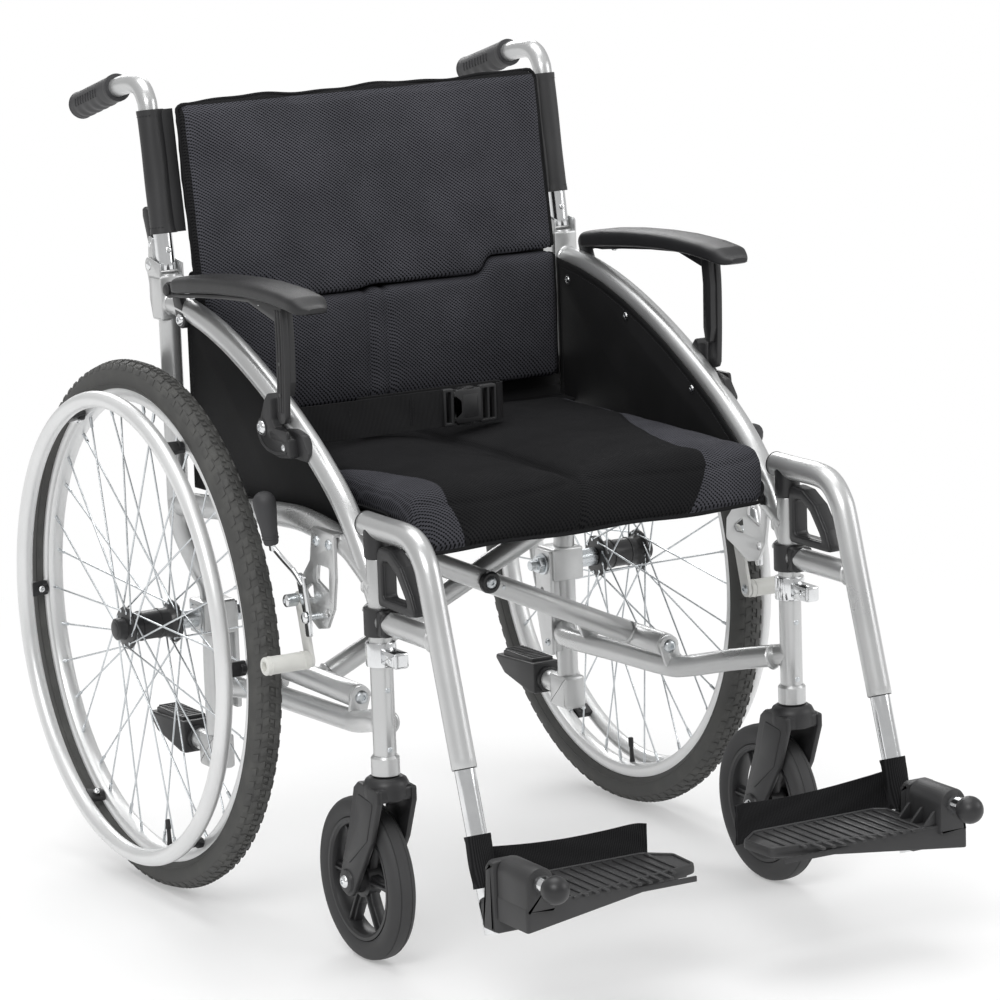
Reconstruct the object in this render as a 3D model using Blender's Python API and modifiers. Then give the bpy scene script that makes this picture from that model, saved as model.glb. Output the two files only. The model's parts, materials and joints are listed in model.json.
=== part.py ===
"""Folding self-propelled wheelchair, as separate sub-parts on joint empties.

Metres, +Z up. The chair faces -Y and its right side is -X. Every position below is measured from the
point on the floor under the rear axle; the root empty then moves the chair so that the world origin is
the centre of its footprint. side is -1 for the right half and +1 for the left half.
"""
import math

import bmesh
import bpy
from mathutils import Matrix, Vector

COLLECTION = "wheelchair"
AXLE_Y = 0.2560                 # from the middle of the footprint back to the rear axle
CLEAR = 0.0004                  # gap left between pieces that don't move against each other

# Rear wheels
WHEEL_R, WHEEL_X = 0.305, 0.312
TYRE_W = 0.035
RIM_OUT, RIM_IN, RIM_W = 0.2725, 0.2570, 0.022
HANDRIM_R, HANDRIM_TUBE, HANDRIM_X = 0.2635, 0.0095, 0.351
HANDRIM_TABS = 6
HUB_IN, HUB_OUT, HUB_R, FLANGE_R = 0.2805, 0.3455, 0.0165, 0.0245
SPOKES, SPOKE_R = 36, 0.0010
AXLE_R, AXLE_CLEAR = 0.0060, 0.0005
WHEEL_STEPS = 40

# Casters
CASTER_R, CASTER_W, CASTER_TRAIL = 0.090, 0.030, 0.052
CASTER_RIM = 0.068
FORK_GAP, FORK_LEG = 0.0175, 0.0075   # from the wheel's middle to a leg, and the leg's thickness

# Frame
FRAME_X, TUBE_R, ARM_R, SEAT_TUBE_R = 0.2595, 0.0125, 0.0128, 0.0135
POST_Y, POST_BOTTOM, POST_TOP = -0.459, 0.216, 0.452
REAR_Y, REAR_TOP = 0.021, 0.703
LOW_X, LOW_RAIL_X = 0.236, 0.208
RAIL_R, RAIL_X, RAIL_Z = 0.0110, 0.230, 0.461

# Cross brace
PIVOT_X, PIVOT_Z = 0.200, 0.260
CENTRE_Z, BRACE_Y, BRACE_STEP = 0.352, -0.210, 0.014
SLEEVE_FRONT, SLEEVE_REAR, SLEEVE_R = -0.291, -0.112, 0.0135

# Half-folding back
CANE_R, BACK_PIVOT = 0.0112, (0.038, 0.711)
CANE_PATH = [(0.0225, 0.7060), (0.0505, 0.884), (0.0550, 0.898), (0.0650, 0.909), (0.080, 0.9135),
             (0.098, 0.9125), (0.115, 0.9095), (0.132, 0.9053), (0.226, 0.8791)]
SLEEVE_BAND = ((0.0291, 0.747), (0.0508, 0.886))
GRIP_R, GRIP = 0.0165, ((0.130, 0.9059), (0.238, 0.8757))

# Front rigging
HANGER_R, HANGER_TOP, HANGER_BAR = 0.0135, 0.4857, 0.385
LEG_END = (-0.6325, 0.258)
INNER_R, INNER_END = 0.0110, 0.094
FLIP_X, FLIP_Z = 0.255, 0.167
PLATE_IN, PLATE_OUT, PLATE_FRONT, PLATE_BACK = 0.043, 0.272, -0.775, -0.665

# Armrests
PAD_X, PAD_HALF = 0.267, 0.0225
ARM_PIVOT, ARM_BOLT = (-0.020, 0.690), (-0.034, 0.657)
ARM_PATH = [(REAR_Y, 0.6700), (-0.020, 0.6685), (-0.050, 0.6640), (-0.095, 0.6535), (-0.143, 0.6380),
            (-0.190, 0.6190), (-0.235, 0.5980), (-0.285, 0.5710), (-0.333, 0.5415), (-0.378, 0.5080),
            (-0.409, 0.4770), (-0.434, 0.4440), (POST_Y, 0.4050)]
PAD_UNDER = [(-0.0330, 0.6880), (-0.0500, 0.6890), (-0.0950, 0.6945), (-0.1600, 0.7005), (-0.2200, 0.7040),
             (-0.2850, 0.7045), (-0.3300, 0.7010), (-0.3440, 0.6985)]
PAD_OVER = [(-0.3520, 0.7040), (-0.3520, 0.7110), (-0.3400, 0.7175), (-0.3050, 0.7215), (-0.2500, 0.7235),
            (-0.2000, 0.7225), (-0.1400, 0.7190), (-0.0900, 0.7140), (-0.0450, 0.7070), (-0.0330, 0.7020)]
STRUT_X, STRUT_T = 0.2762, 0.0068

# Brakes
BRAKE_PIVOT, SHOE_PIVOT, SHOE = (-0.350, 0.372), (-0.318, 0.386), (-0.336, 0.322)

# Upholstery
SEAT_HALF, SEAT_FRONT, SEAT_BACK, SEAT_TOP = 0.226, -0.490, -0.030, 0.525
BACK_HALF, BACK_SPLIT, BACK_TOP = 0.231, 0.6745, 0.898

SILVER = ("silver_paint", (0.62, 0.63, 0.64), 0.6, 0.35)
CHROME = ("chrome", (0.80, 0.81, 0.82), 1.0, 0.12)
ZINC = ("zinc", (0.60, 0.63, 0.64), 1.0, 0.30)
BLACK = ("black_plastic", (0.025, 0.025, 0.027), 0.0, 0.45)
RUBBER = ("tyre_rubber", (0.045, 0.045, 0.043), 0.0, 0.75)
GRIP_RUBBER = ("grip_rubber", (0.035, 0.035, 0.037), 0.0, 0.60)
NYLON = ("black_nylon", (0.015, 0.015, 0.017), 0.0, 0.85)
MESH_CLOTH = ("mesh_cloth", (0.050, 0.050, 0.058), 0.0, 0.90)
CREAM = ("cream_plastic", (0.60, 0.59, 0.55), 0.0, 0.50)

PARTS = bpy.data.collections.new(COLLECTION)
HELPERS = bpy.data.collections.new("cutters")
PLACES = {}                      # joint empty -> its place in the chair's own frame


# ---------------------------------------------------------------- scene, materials and joint empties

def clear_scene():
    for thing in list(bpy.data.objects):
        bpy.data.objects.remove(thing)
    for collection in (PARTS, HELPERS):
        bpy.context.scene.collection.children.link(collection)


def material(name, colour, metallic, roughness):
    """One Principled material for each finish, made the first time that it is asked for."""
    found = bpy.data.materials.get(name)
    if found:
        return found
    made = bpy.data.materials.new(name)
    made.use_nodes = True
    shader = made.node_tree.nodes["Principled BSDF"]
    shader.inputs["Base Color"].default_value = (*colour, 1.0)
    shader.inputs["Metallic"].default_value = metallic
    shader.inputs["Roughness"].default_value = roughness
    return made


def empty_at(name, place, parent=None):
    """An empty on a joint's axis. place is in the chair's own frame."""
    empty = bpy.data.objects.new(name, None)
    empty.empty_display_size = 0.03
    PARTS.objects.link(empty)
    PLACES[empty] = Vector(place)
    if parent is None:
        empty.location = Vector((0, AXLE_Y, 0)) + Vector(place)
    else:
        empty.parent = parent
        empty.location = Vector(place) - PLACES[parent]
    return empty


def hang(thing, pivot):
    """Parents a piece that was modelled in the chair's own frame to a joint empty."""
    thing.parent = pivot
    thing.matrix_parent_inverse = Matrix.Translation(-PLACES[pivot])


def part(name, finish, pivot, base, joined=(), cut=()):
    """Turns a base shape and its helpers into one named sub-part."""
    base.name = base.data.name = name
    base.data.materials.append(material(*finish))
    for helper, operation in [(h, "UNION") for h in joined] + [(h, "DIFFERENCE") for h in cut]:
        step = base.modifiers.new(operation.lower(), "BOOLEAN")
        step.operation, step.solver, step.object = operation, "EXACT", helper
        helper.name = f"{name}_{operation.lower()}"
        helper.hide_render = True
        helper.display_type = "WIRE"
        PARTS.objects.unlink(helper)
        HELPERS.objects.link(helper)
        hang(helper, pivot)
    hang(base, pivot)
    base.data.shade_smooth()
    base.data.set_sharp_from_angle(angle=math.radians(40))
    return base


# ---------------------------------------------------------------- basic shapes

def shape(mesh):
    thing = bpy.data.objects.new("shape", mesh)
    PARTS.objects.link(thing)
    return thing


def solid(source):
    """The evaluated mesh of a curve or of an object with modifiers, welded shut and facing out."""
    bpy.context.view_layer.update()
    mesh = bpy.data.meshes.new_from_object(source.evaluated_get(bpy.context.evaluated_depsgraph_get()))
    mesh.transform(source.matrix_world)
    bpy.data.objects.remove(source)
    tidy = bmesh.new()
    tidy.from_mesh(mesh)
    bmesh.ops.remove_doubles(tidy, verts=tidy.verts, dist=1e-6)
    bmesh.ops.recalc_face_normals(tidy, faces=tidy.faces)
    tidy.to_mesh(mesh)
    tidy.free()
    return shape(mesh)


def tube(points, radius, sides=12):
    """A round bar along points in 3-D, with flat ends."""
    curve = bpy.data.curves.new("path", "CURVE")
    curve.dimensions = "3D"
    curve.bevel_depth = radius
    curve.bevel_resolution = (sides - 4) // 2
    curve.use_fill_caps = True
    spline = curve.splines.new("POLY")
    spline.points.add(len(points) - 1)
    for point, place in zip(spline.points, points):
        point.co = (*place, 1.0)
    return solid(shape(curve))


def plane_tube(side, x, points, radius, sides=12):
    """A tube in a fore-and-aft plane, through (y, z) points."""
    return tube([(side * x, y, z) for y, z in points], radius, sides)


def rod(start, end, radius, sides=12):
    return tube([start, end], radius, sides)


def cross_rod(side, x0, x1, place, radius, sides=12):
    """A rod along X from x0 to x1 at the (y, z) place."""
    return rod((side * x0, *place), (side * x1, *place), radius, sides)


def box(low, high, side=1):
    """A box between two corners, mirrored to the given side."""
    made = bmesh.new()
    bmesh.ops.create_cube(made, size=1.0)
    middle = [(a + b) / 2 for a, b in zip(low, high)]
    bmesh.ops.scale(made, verts=made.verts, vec=[abs(b - a) for a, b in zip(low, high)])
    bmesh.ops.translate(made, verts=made.verts, vec=(side * middle[0], middle[1], middle[2]))
    mesh = bpy.data.meshes.new("box")
    made.to_mesh(mesh)
    made.free()
    return shape(mesh)


def plate(side, x0, x1, outline):
    """A flat plate between x0 and x1 whose (y, z) outline is given."""
    curve = bpy.data.curves.new("outline", "CURVE")
    curve.dimensions = "2D"
    curve.fill_mode = "BOTH"
    curve.extrude = abs(x1 - x0) / 2
    spline = curve.splines.new("POLY")
    spline.use_cyclic_u = True
    spline.points.add(len(outline) - 1)
    for point, (y, z) in zip(spline.points, outline):
        point.co = (y, z, 0.0, 1.0)
    flat = shape(curve)
    # local x, y and z become the chair's y, z and x
    flat.matrix_world = Matrix(((0, 0, 1, side * (x0 + x1) / 2), (1, 0, 0, 0), (0, 1, 0, 0), (0, 0, 0, 1)))
    return solid(flat)


def flat_plate(side, z0, z1, outline):
    """A level plate between z0 and z1 whose (x, y) outline is given."""
    curve = bpy.data.curves.new("outline", "CURVE")
    curve.dimensions = "2D"
    curve.fill_mode = "BOTH"
    curve.extrude = (z1 - z0) / 2
    spline = curve.splines.new("POLY")
    spline.use_cyclic_u = True
    spline.points.add(len(outline) - 1)
    for point, (x, y) in zip(spline.points, outline):
        point.co = (side * x, y, 0.0, 1.0)
    flat = shape(curve)
    flat.location.z = (z0 + z1) / 2
    return solid(flat)


def turned(side, x, profile, place, steps=WHEEL_STEPS, closed=True):
    """A profile of (radius, offset along X) points turned about the X axis through the (y, z) place.

    closed joins the last point to the first, which makes a ring; an open profile starts and ends on
    the axis. Half a step of turn puts a flat facet at the bottom.
    """
    made = bmesh.new()
    verts = [made.verts.new((offset, radius, 0.0)) for radius, offset in profile]
    for first, second in zip(verts, verts[1:] + ([verts[0]] if closed else [])):
        if first is not second:
            made.edges.new((first, second))
    mesh = bpy.data.meshes.new("profile")
    made.to_mesh(mesh)
    made.free()
    turning = shape(mesh)
    screw = turning.modifiers.new("turn", "SCREW")
    screw.axis = "X"
    screw.steps = screw.render_steps = steps
    screw.use_merge_vertices = True
    screw.merge_threshold = 0.00005
    turning.location = (side * x, *place)
    turning.rotation_euler.x = math.pi / steps
    if side < 0:
        turning.rotation_euler.z = math.pi
    return solid(turning)


def arc(centre, radius, start, end, steps):
    """(y, z) points on a circle, from one angle to another in degrees."""
    angles = [math.radians(start + (end - start) * i / steps) for i in range(steps + 1)]
    return [(centre[0] + radius * math.cos(a), centre[1] + radius * math.sin(a)) for a in angles]


def along(first, second, share):
    return tuple(a + (b - a) * share for a, b in zip(first, second))


def name_of(word, side):
    return f"{word}_{'right' if side < 0 else 'left'}"


# ---------------------------------------------------------------- side frames

def side_frame(side, pivot):
    """Welded side frame: posts, arm tube, seat tube, lower rail, axle block, lugs and their bolts."""
    post = rod((side * FRAME_X, POST_Y, POST_BOTTOM), (side * FRAME_X, POST_Y, POST_TOP), TUBE_R)
    housing = rod((side * FRAME_X, POST_Y, POST_BOTTOM - 0.0005),
                  (side * FRAME_X, POST_Y, POST_BOTTOM + 0.022), TUBE_R + 0.003)
    arm_tube = plane_tube(side, FRAME_X, ARM_PATH, ARM_R)
    seat_tube = plane_tube(side, FRAME_X, [(REAR_Y, 0.437), (-0.066, 0.445), (-0.237, 0.464),
                                           (-0.312, 0.466), (-0.389, 0.456), (-0.425, 0.441),
                                           (POST_Y, 0.421)], SEAT_TUBE_R)
    rear_post = tube([(side * FRAME_X, REAR_Y, REAR_TOP), (side * FRAME_X, REAR_Y, 0.430),
                      (side * 0.2560, 0.017, 0.400), (side * 0.2450, 0.005, 0.362),
                      (side * LOW_X, -0.004, 0.330), (side * LOW_X, -0.004, 0.140)], TUBE_R)
    low_rail = tube([(side * LOW_X, 0.000, 0.223), (side * 0.215, -0.035, 0.223),
                     (side * LOW_RAIL_X, -0.065, 0.2245), (side * LOW_RAIL_X, -0.270, 0.2325),
                     (side * 0.212, -0.310, 0.237), (side * 0.232, -0.385, 0.256),
                     (side * FRAME_X, POST_Y, 0.272)], TUBE_R)
    axle_block = box((0.2120, -0.020, 0.285), (0.2535, 0.020, 0.325), side)
    axle_plate = plate(side, 0.2085, 0.2135, [(-0.016, 0.195), (0.006, 0.195), (0.018, 0.24),
                                              (0.018, 0.322), (-0.016, 0.322)])
    spine = box((0.2125, -0.010, 0.197), (0.232, 0.002, 0.290), side)
    low_block = box((0.222, -0.022, 0.126), (0.250, 0.020, 0.167), side)
    stub = rod((side * LOW_X, 0.010, 0.150), (side * LOW_X, 0.072, 0.152), TUBE_R)
    lugs = [pivot_lug(side, y) for y in (SLEEVE_FRONT - CLEAR - 0.0055, SLEEVE_REAR + CLEAR)]
    hinge_block = plate(side, FRAME_X - 0.0157, FRAME_X + 0.0157,
                        [(0.0085, 0.6500), (0.0335, 0.6500), (0.0400, 0.6720), (0.0400, 0.7000),
                         (0.0360, 0.7015), (0.0085, 0.7015)])
    hinge_cheeks = [plate(side, FRAME_X + inner, FRAME_X + outer,
                          [(0.0100, 0.6950), (0.0390, 0.6900), *arc(BACK_PIVOT, 0.0095, -60, 120, 7),
                           (0.0100, 0.7150)]) for inner, outer in ((-0.0151, -0.0128), (0.0128, 0.0151))]
    hinge_pin = cross_rod(side, FRAME_X - 0.0165, FRAME_X + 0.0165, BACK_PIVOT, 0.0034, 8)
    arm_ear = plate(side, 0.2640, 0.2721,
                    arc(ARM_BOLT, 0.0100, 157, 337, 6) + arc(ARM_PIVOT, 0.0092, -23, 157, 6))
    arm_bolt = cross_rod(side, 0.2700, 0.2765, ARM_BOLT, 0.0065, 8)
    arm_pin = cross_rod(side, 0.2700, 0.2835, ARM_PIVOT, 0.0040, 8)
    arm_head = cross_rod(side, 0.2812, 0.2840, ARM_PIVOT, 0.0070, 8)
    ring = rod((side * FRAME_X, POST_Y, 0.335), (side * FRAME_X, POST_Y, 0.362), 0.0165)
    catch = box((FRAME_X - 0.009, -0.506, 0.339), (FRAME_X + 0.009, -0.470, 0.357), side)
    bore = cross_rod(side, 0.19, 0.27, (0.0, WHEEL_R), AXLE_R + AXLE_CLEAR)
    part(name_of("side_frame", side), SILVER, pivot, post,
         joined=[housing, arm_tube, seat_tube, rear_post, low_rail, axle_block, axle_plate, spine,
                 low_block, stub, *lugs, hinge_block, *hinge_cheeks, hinge_pin, arm_ear, arm_bolt, arm_pin,
                 arm_head, ring, catch],
         cut=[bore])


def pivot_lug(side, y):
    """Lug on the lower rail that holds one end of the cross brace's sleeve. It is 5.5 mm thick."""
    made = bmesh.new()
    bmesh.ops.create_cone(made, cap_ends=True, segments=12, radius1=0.0125, radius2=0.0125, depth=0.0055)
    mesh = bpy.data.meshes.new("lug")
    made.to_mesh(mesh)
    made.free()
    eye = shape(mesh)
    eye.matrix_world = (Matrix.Translation((side * PIVOT_X, y + 0.00275, PIVOT_Z))
                        @ Matrix.Rotation(math.pi / 2, 4, "X"))
    eye = solid(eye)
    web = box((PIVOT_X - 0.004, y + 0.0002, 0.232), (LOW_RAIL_X + 0.008, y + 0.0053, PIVOT_Z), side)
    union = eye.modifiers.new("union", "BOOLEAN")
    union.solver, union.operation, union.object = "EXACT", "UNION", web
    merged = solid(eye)
    bpy.data.objects.remove(web)
    return merged


def skirt_guard(side, pivot):
    """Clothes guard inside the side frame, with three screw heads on its inner face."""
    outline = [(0.006, 0.455), (0.006, 0.672), *ARM_PATH[1:-2], (-0.436, 0.440), (-0.395, 0.452),
               (-0.312, 0.4635), (-0.200, 0.461)]
    panel = plate(side, 0.2435, 0.2455, outline)
    screws = [cross_rod(side, 0.2415, 0.2445, place, 0.0040, 8)
              for place in ((-0.020, 0.648), (-0.150, 0.620), (-0.290, 0.553))]
    part(name_of("skirt_guard", side), NYLON, pivot, panel, joined=screws)


def tipping_pad(side, pivot):
    """Tapered foot pad on the tipping lever at the back of the frame."""
    wedge = plate(side, LOW_X - 0.0185, LOW_X + 0.0185,
                  [(0.046, 0.134), (0.060, 0.1335), (0.120, 0.147), (0.140, 0.163),
                   (0.138, 0.168), (0.046, 0.172)])
    raised = box((LOW_X - 0.015, 0.056, 0.160), (LOW_X + 0.015, 0.126, 0.1755), side)
    socket = rod((side * LOW_X, 0.040, 0.1510), (side * LOW_X, 0.0735, 0.1521), TUBE_R + CLEAR)
    part(name_of("tipping_pad", side), BLACK, pivot, wedge, joined=[raised], cut=[socket])


def axle_bolt(side, pivot):
    """Zinc axle bolt with its spacer against the frame, its nut and its washer."""
    middle = (0.0, WHEEL_R)
    bolt = cross_rod(side, 0.190, 0.3515, middle, AXLE_R)
    spacer = cross_rod(side, 0.2539, 0.2799, middle, 0.0110)
    nut = cross_rod(side, 0.1985, 0.2062, middle, 0.0105, 6)
    washer = cross_rod(side, 0.2060, 0.2081, middle, 0.0130)
    part(name_of("axle_bolt", side), ZINC, pivot, bolt, joined=[spacer, nut, washer])


# ---------------------------------------------------------------- rear wheels

def spoke_ends():
    """Hub and rim ends of each spoke as (radius, angle, offset from the wheel's middle)."""
    for index in range(SPOKES):
        turn = 2 * math.pi * index / SPOKES
        outer = index % 2 == 0
        lead = 1 if index % 4 < 2 else -1
        flange = (HUB_OUT - 0.006 if outer else HUB_IN + 0.006) - WHEEL_X
        lift = 0.0030 * lead
        yield (FLANGE_R - 0.006, turn + lead * math.radians(72), flange + lift), \
              (RIM_IN + 0.004, turn, (0.003 if outer else -0.003))


def spokes(side):
    """All the spokes of one wheel, as separate square wires."""
    wires = bmesh.new()
    for (r0, a0, x0), (r1, a1, x1) in spoke_ends():
        start = Vector((side * (WHEEL_X + x0), r0 * math.cos(a0), WHEEL_R + r0 * math.sin(a0)))
        end = Vector((side * (WHEEL_X + x1), r1 * math.cos(a1), WHEEL_R + r1 * math.sin(a1)))
        turn = (end - start).to_track_quat("Z", "Y").to_matrix().to_4x4()
        bmesh.ops.create_cone(wires, cap_ends=True, segments=4, radius1=SPOKE_R, radius2=SPOKE_R,
                              depth=(end - start).length,
                              matrix=Matrix.Translation((start + end) / 2) @ turn)
    mesh = bpy.data.meshes.new("spokes")
    wires.to_mesh(mesh)
    wires.free()
    return shape(mesh)


def rear_wheel(side, pivot):
    """Laced wheel: rim, spokes and flanged hub with an open bore at its inner end."""
    middle = (0.0, WHEEL_R)
    half = RIM_W / 2
    rim = turned(side, WHEEL_X, [(RIM_OUT, -half), (RIM_OUT, half), (RIM_IN + 0.004, half),
                                 (RIM_IN, 0.005), (RIM_IN, -0.005), (RIM_IN + 0.004, -half)], middle)
    hub = turned(side, 0.0, [(0.0, HUB_IN), (FLANGE_R, HUB_IN + 0.0005), (FLANGE_R, HUB_IN + 0.010),
                             (HUB_R, HUB_IN + 0.012), (HUB_R, HUB_OUT - 0.012),
                             (FLANGE_R, HUB_OUT - 0.010), (FLANGE_R, HUB_OUT),
                             (0.0130, HUB_OUT + 0.0015), (0.0120, HUB_OUT + 0.0100), (0.0, 0.3575)],
                 middle, 20, closed=False)
    bore = cross_rod(side, 0.270, 0.3525, middle, AXLE_R + AXLE_CLEAR)
    part(name_of("rear_wheel", side), SILVER, pivot, rim, joined=[spokes(side), hub], cut=[bore])


def rear_tyre(side, pivot):
    half, inner = TYRE_W / 2, RIM_OUT + CLEAR
    flat = WHEEL_R / math.cos(math.pi / WHEEL_STEPS)
    part(name_of("rear_tyre", side), RUBBER, pivot,
         turned(side, WHEEL_X, [(inner, -0.011), (0.281, -half), (0.293, -half), (0.3025, -0.010),
                                (flat, -0.006), (flat, 0.006), (0.3025, 0.010), (0.293, half),
                                (0.281, half), (inner, 0.011)], (0.0, WHEEL_R)))


def handrim(side, pivot):
    """Push rim with the tabs that hold it off the wheel's rim."""
    ring = turned(side, HANDRIM_X, [(HANDRIM_R + HANDRIM_TUBE * math.cos(a), HANDRIM_TUBE * math.sin(a))
                                    for a in (math.radians(45 * i + 22.5) for i in range(8))],
                  (0.0, WHEEL_R))
    tabs = []
    for index in range(HANDRIM_TABS):
        turn = Matrix.Rotation(2 * math.pi * (index + 0.5) / HANDRIM_TABS, 4, "X")
        tab = box((WHEEL_X + RIM_W / 2 + CLEAR, RIM_IN + 0.0015, -0.008),
                  (HANDRIM_X, RIM_IN + 0.0075, 0.008), side)
        tab.data.transform(Matrix.Translation((0, 0, WHEEL_R)) @ turn)
        tabs.append(tab)
    part(name_of("handrim", side), SILVER, pivot, ring, joined=tabs)


# ---------------------------------------------------------------- casters

CASTER_Y = POST_Y + CASTER_TRAIL


def caster_fork(side, pivot):
    """Fork: a crown on the stem, two legs that trail behind it, and the axle with its two heads."""
    axle = (CASTER_Y, CASTER_R)
    crown = rod((side * FRAME_X, POST_Y, 0.1900), (side * FRAME_X, POST_Y, POST_BOTTOM - 0.0010), 0.0250)
    leg = [(POST_Y - 0.024, 0.2050), (POST_Y - 0.024, 0.1900), (POST_Y - 0.006, 0.1450),
           *arc(axle, 0.0170, 200, 380, 7), (POST_Y + 0.042, 0.1600), (POST_Y + 0.030, 0.2000),
           (POST_Y + 0.020, 0.2080)]
    legs = [plate(side, FRAME_X + s * FORK_GAP, FRAME_X + s * (FORK_GAP + FORK_LEG), leg)
            for s in (-1, 1)]
    bridge = box((FRAME_X - FORK_GAP - 0.001, POST_Y - 0.023, 0.1905),
                 (FRAME_X + FORK_GAP + 0.001, POST_Y + 0.029, 0.2060), side)
    shaft = cross_rod(side, FRAME_X - 0.0290, FRAME_X + 0.0290, axle, 0.0050)
    part(name_of("caster_fork", side), BLACK, pivot, crown, joined=[bridge, *legs, shaft])


def caster_wheel(side, pivot):
    """Moulded wheel: a rim and a hub joined by six spokes."""
    axle = (CASTER_Y, CASTER_R)
    rim = turned(side, FRAME_X, [(CASTER_RIM - CLEAR, -0.0125), (CASTER_RIM - CLEAR, 0.0125),
                                 (0.060, 0.0125), (0.058, 0.0), (0.060, -0.0125)], axle, 24)
    hub = cross_rod(side, FRAME_X - 0.0165, FRAME_X + 0.0165, axle, 0.0150)
    arms = []
    for index in range(6):
        arm = box((FRAME_X - 0.0055, 0.008, -0.0055), (FRAME_X + 0.0055, 0.0605, 0.0055), side)
        arm.data.transform(Matrix.Translation((0, *axle)) @ Matrix.Rotation(math.pi * index / 3, 4, "X"))
        arms.append(arm)
    bore = cross_rod(side, FRAME_X - 0.03, FRAME_X + 0.03, axle, 0.0055)
    part(name_of("caster_wheel", side), BLACK, pivot, rim, joined=[hub, *arms], cut=[bore])


def caster_tyre(side, pivot):
    half = CASTER_W / 2
    flat = CASTER_R / math.cos(math.pi / 24)
    part(name_of("caster_tyre", side), RUBBER, pivot,
         turned(side, FRAME_X, [(CASTER_RIM + CLEAR, -0.0125), (0.074, -half), (0.083, -half),
                                (flat, -0.010), (flat, 0.010), (0.083, half), (0.074, half),
                                (CASTER_RIM + CLEAR, 0.0125)], (CASTER_Y, CASTER_R), 24))


# ---------------------------------------------------------------- cross brace

def brace(name, side, pivot, y):
    """One bar of the cross brace: the tube from the sleeve on the given side up to the far seat rail."""
    slope = (CENTRE_Z - PIVOT_Z) / PIVOT_X
    rail_z = CENTRE_Z + slope * RAIL_X
    bar = rod((side * PIVOT_X, y, PIVOT_Z), (-side * RAIL_X, y, rail_z), TUBE_R)
    sleeve = rod((side * PIVOT_X, SLEEVE_FRONT, PIVOT_Z), (side * PIVOT_X, SLEEVE_REAR, PIVOT_Z), SLEEVE_R)
    rail = rod((-side * RAIL_X, -0.440, RAIL_Z), (-side * RAIL_X, -0.020, RAIL_Z), RAIL_R)
    hole = rod((0, BRACE_Y - 0.05, CENTRE_Z), (0, BRACE_Y + 0.05, CENTRE_Z), 0.0050, 8)
    part(name, SILVER, pivot, bar, joined=[sleeve, rail], cut=[hole])


def brace_bolt(pivot):
    """Bolt through both bars, with its round cap in front and its nut behind."""
    front = BRACE_Y - BRACE_STEP - TUBE_R - CLEAR
    rear = BRACE_Y + BRACE_STEP + TUBE_R + CLEAR
    shaft = rod((0, front - 0.003, CENTRE_Z), (0, rear + 0.003, CENTRE_Z), 0.0045, 8)
    cap = rod((0, front - 0.006, CENTRE_Z), (0, front, CENTRE_Z), 0.0125)
    nut = rod((0, rear, CENTRE_Z), (0, rear + 0.006, CENTRE_Z), 0.0085, 6)
    part("brace_bolt", BLACK, pivot, shaft, joined=[cap, nut])


# ---------------------------------------------------------------- half-folding back

def back_cane(side, pivot):
    """Upper back cane that bends into the push handle, with its hinge bracket behind."""
    bent = plane_tube(side, FRAME_X, CANE_PATH, CANE_R)
    bracket = plate(side, FRAME_X - 0.0122, FRAME_X + 0.0122,
                    [(0.0220, 0.7440), (0.0220, 0.7160)] + arc(BACK_PIVOT, 0.0080, 200, 380, 7)
                    + [(0.0440, 0.7300), (0.0420, 0.7440)])
    hole = cross_rod(side, FRAME_X - 0.02, FRAME_X + 0.02, BACK_PIVOT, 0.0039, 8)
    part(name_of("back_cane", side), SILVER, pivot, bent, joined=[bracket], cut=[hole])


def push_grip(side, pivot):
    start, end = [(side * FRAME_X, *place) for place in GRIP]
    bore_end = along(GRIP[0], GRIP[1], 0.945)
    cover = rod(start, end, GRIP_R)
    bore = rod((side * FRAME_X, *along(GRIP[0], GRIP[1], -0.1)), (side * FRAME_X, *bore_end),
               CANE_R + CLEAR)
    part(name_of("push_grip", side), GRIP_RUBBER, pivot, cover, cut=[bore])


def back_sleeve(side, pivot):
    """Sleeve of the back upholstery around the cane, and the hem that runs on from it."""
    low, high = SLEEVE_BAND
    cover = plane_tube(side, FRAME_X, [low, high], 0.0140)
    hem = plate(side, 0.2325, FRAME_X - 0.006,
                [(low[0] - 0.009, low[1] + 0.0015), (low[0] + 0.006, low[1] - 0.0015),
                 (high[0] + 0.006, high[1] - 0.0015), (high[0] - 0.009, high[1] + 0.0015)])
    bore = plane_tube(side, FRAME_X, [along(low, high, -0.1), along(low, high, 1.1)], CANE_R + CLEAR)
    part(name_of("back_sleeve", side), NYLON, pivot, cover, joined=[hem], cut=[bore])


def back_latch(side, pivot):
    """Lever behind the cane that lets the upper back fold."""
    blade = plate(side, FRAME_X - 0.006, FRAME_X + 0.006,
                  [(0.0458, 0.7285), (0.0500, 0.7270), (0.0550, 0.7310), (0.0680, 0.7640),
                   (0.0680, 0.7720), (0.0620, 0.7755), (0.0560, 0.7720), (0.0455, 0.7380)])
    part(name_of("back_latch", side), BLACK, pivot, blade)


# ---------------------------------------------------------------- front rigging

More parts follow.
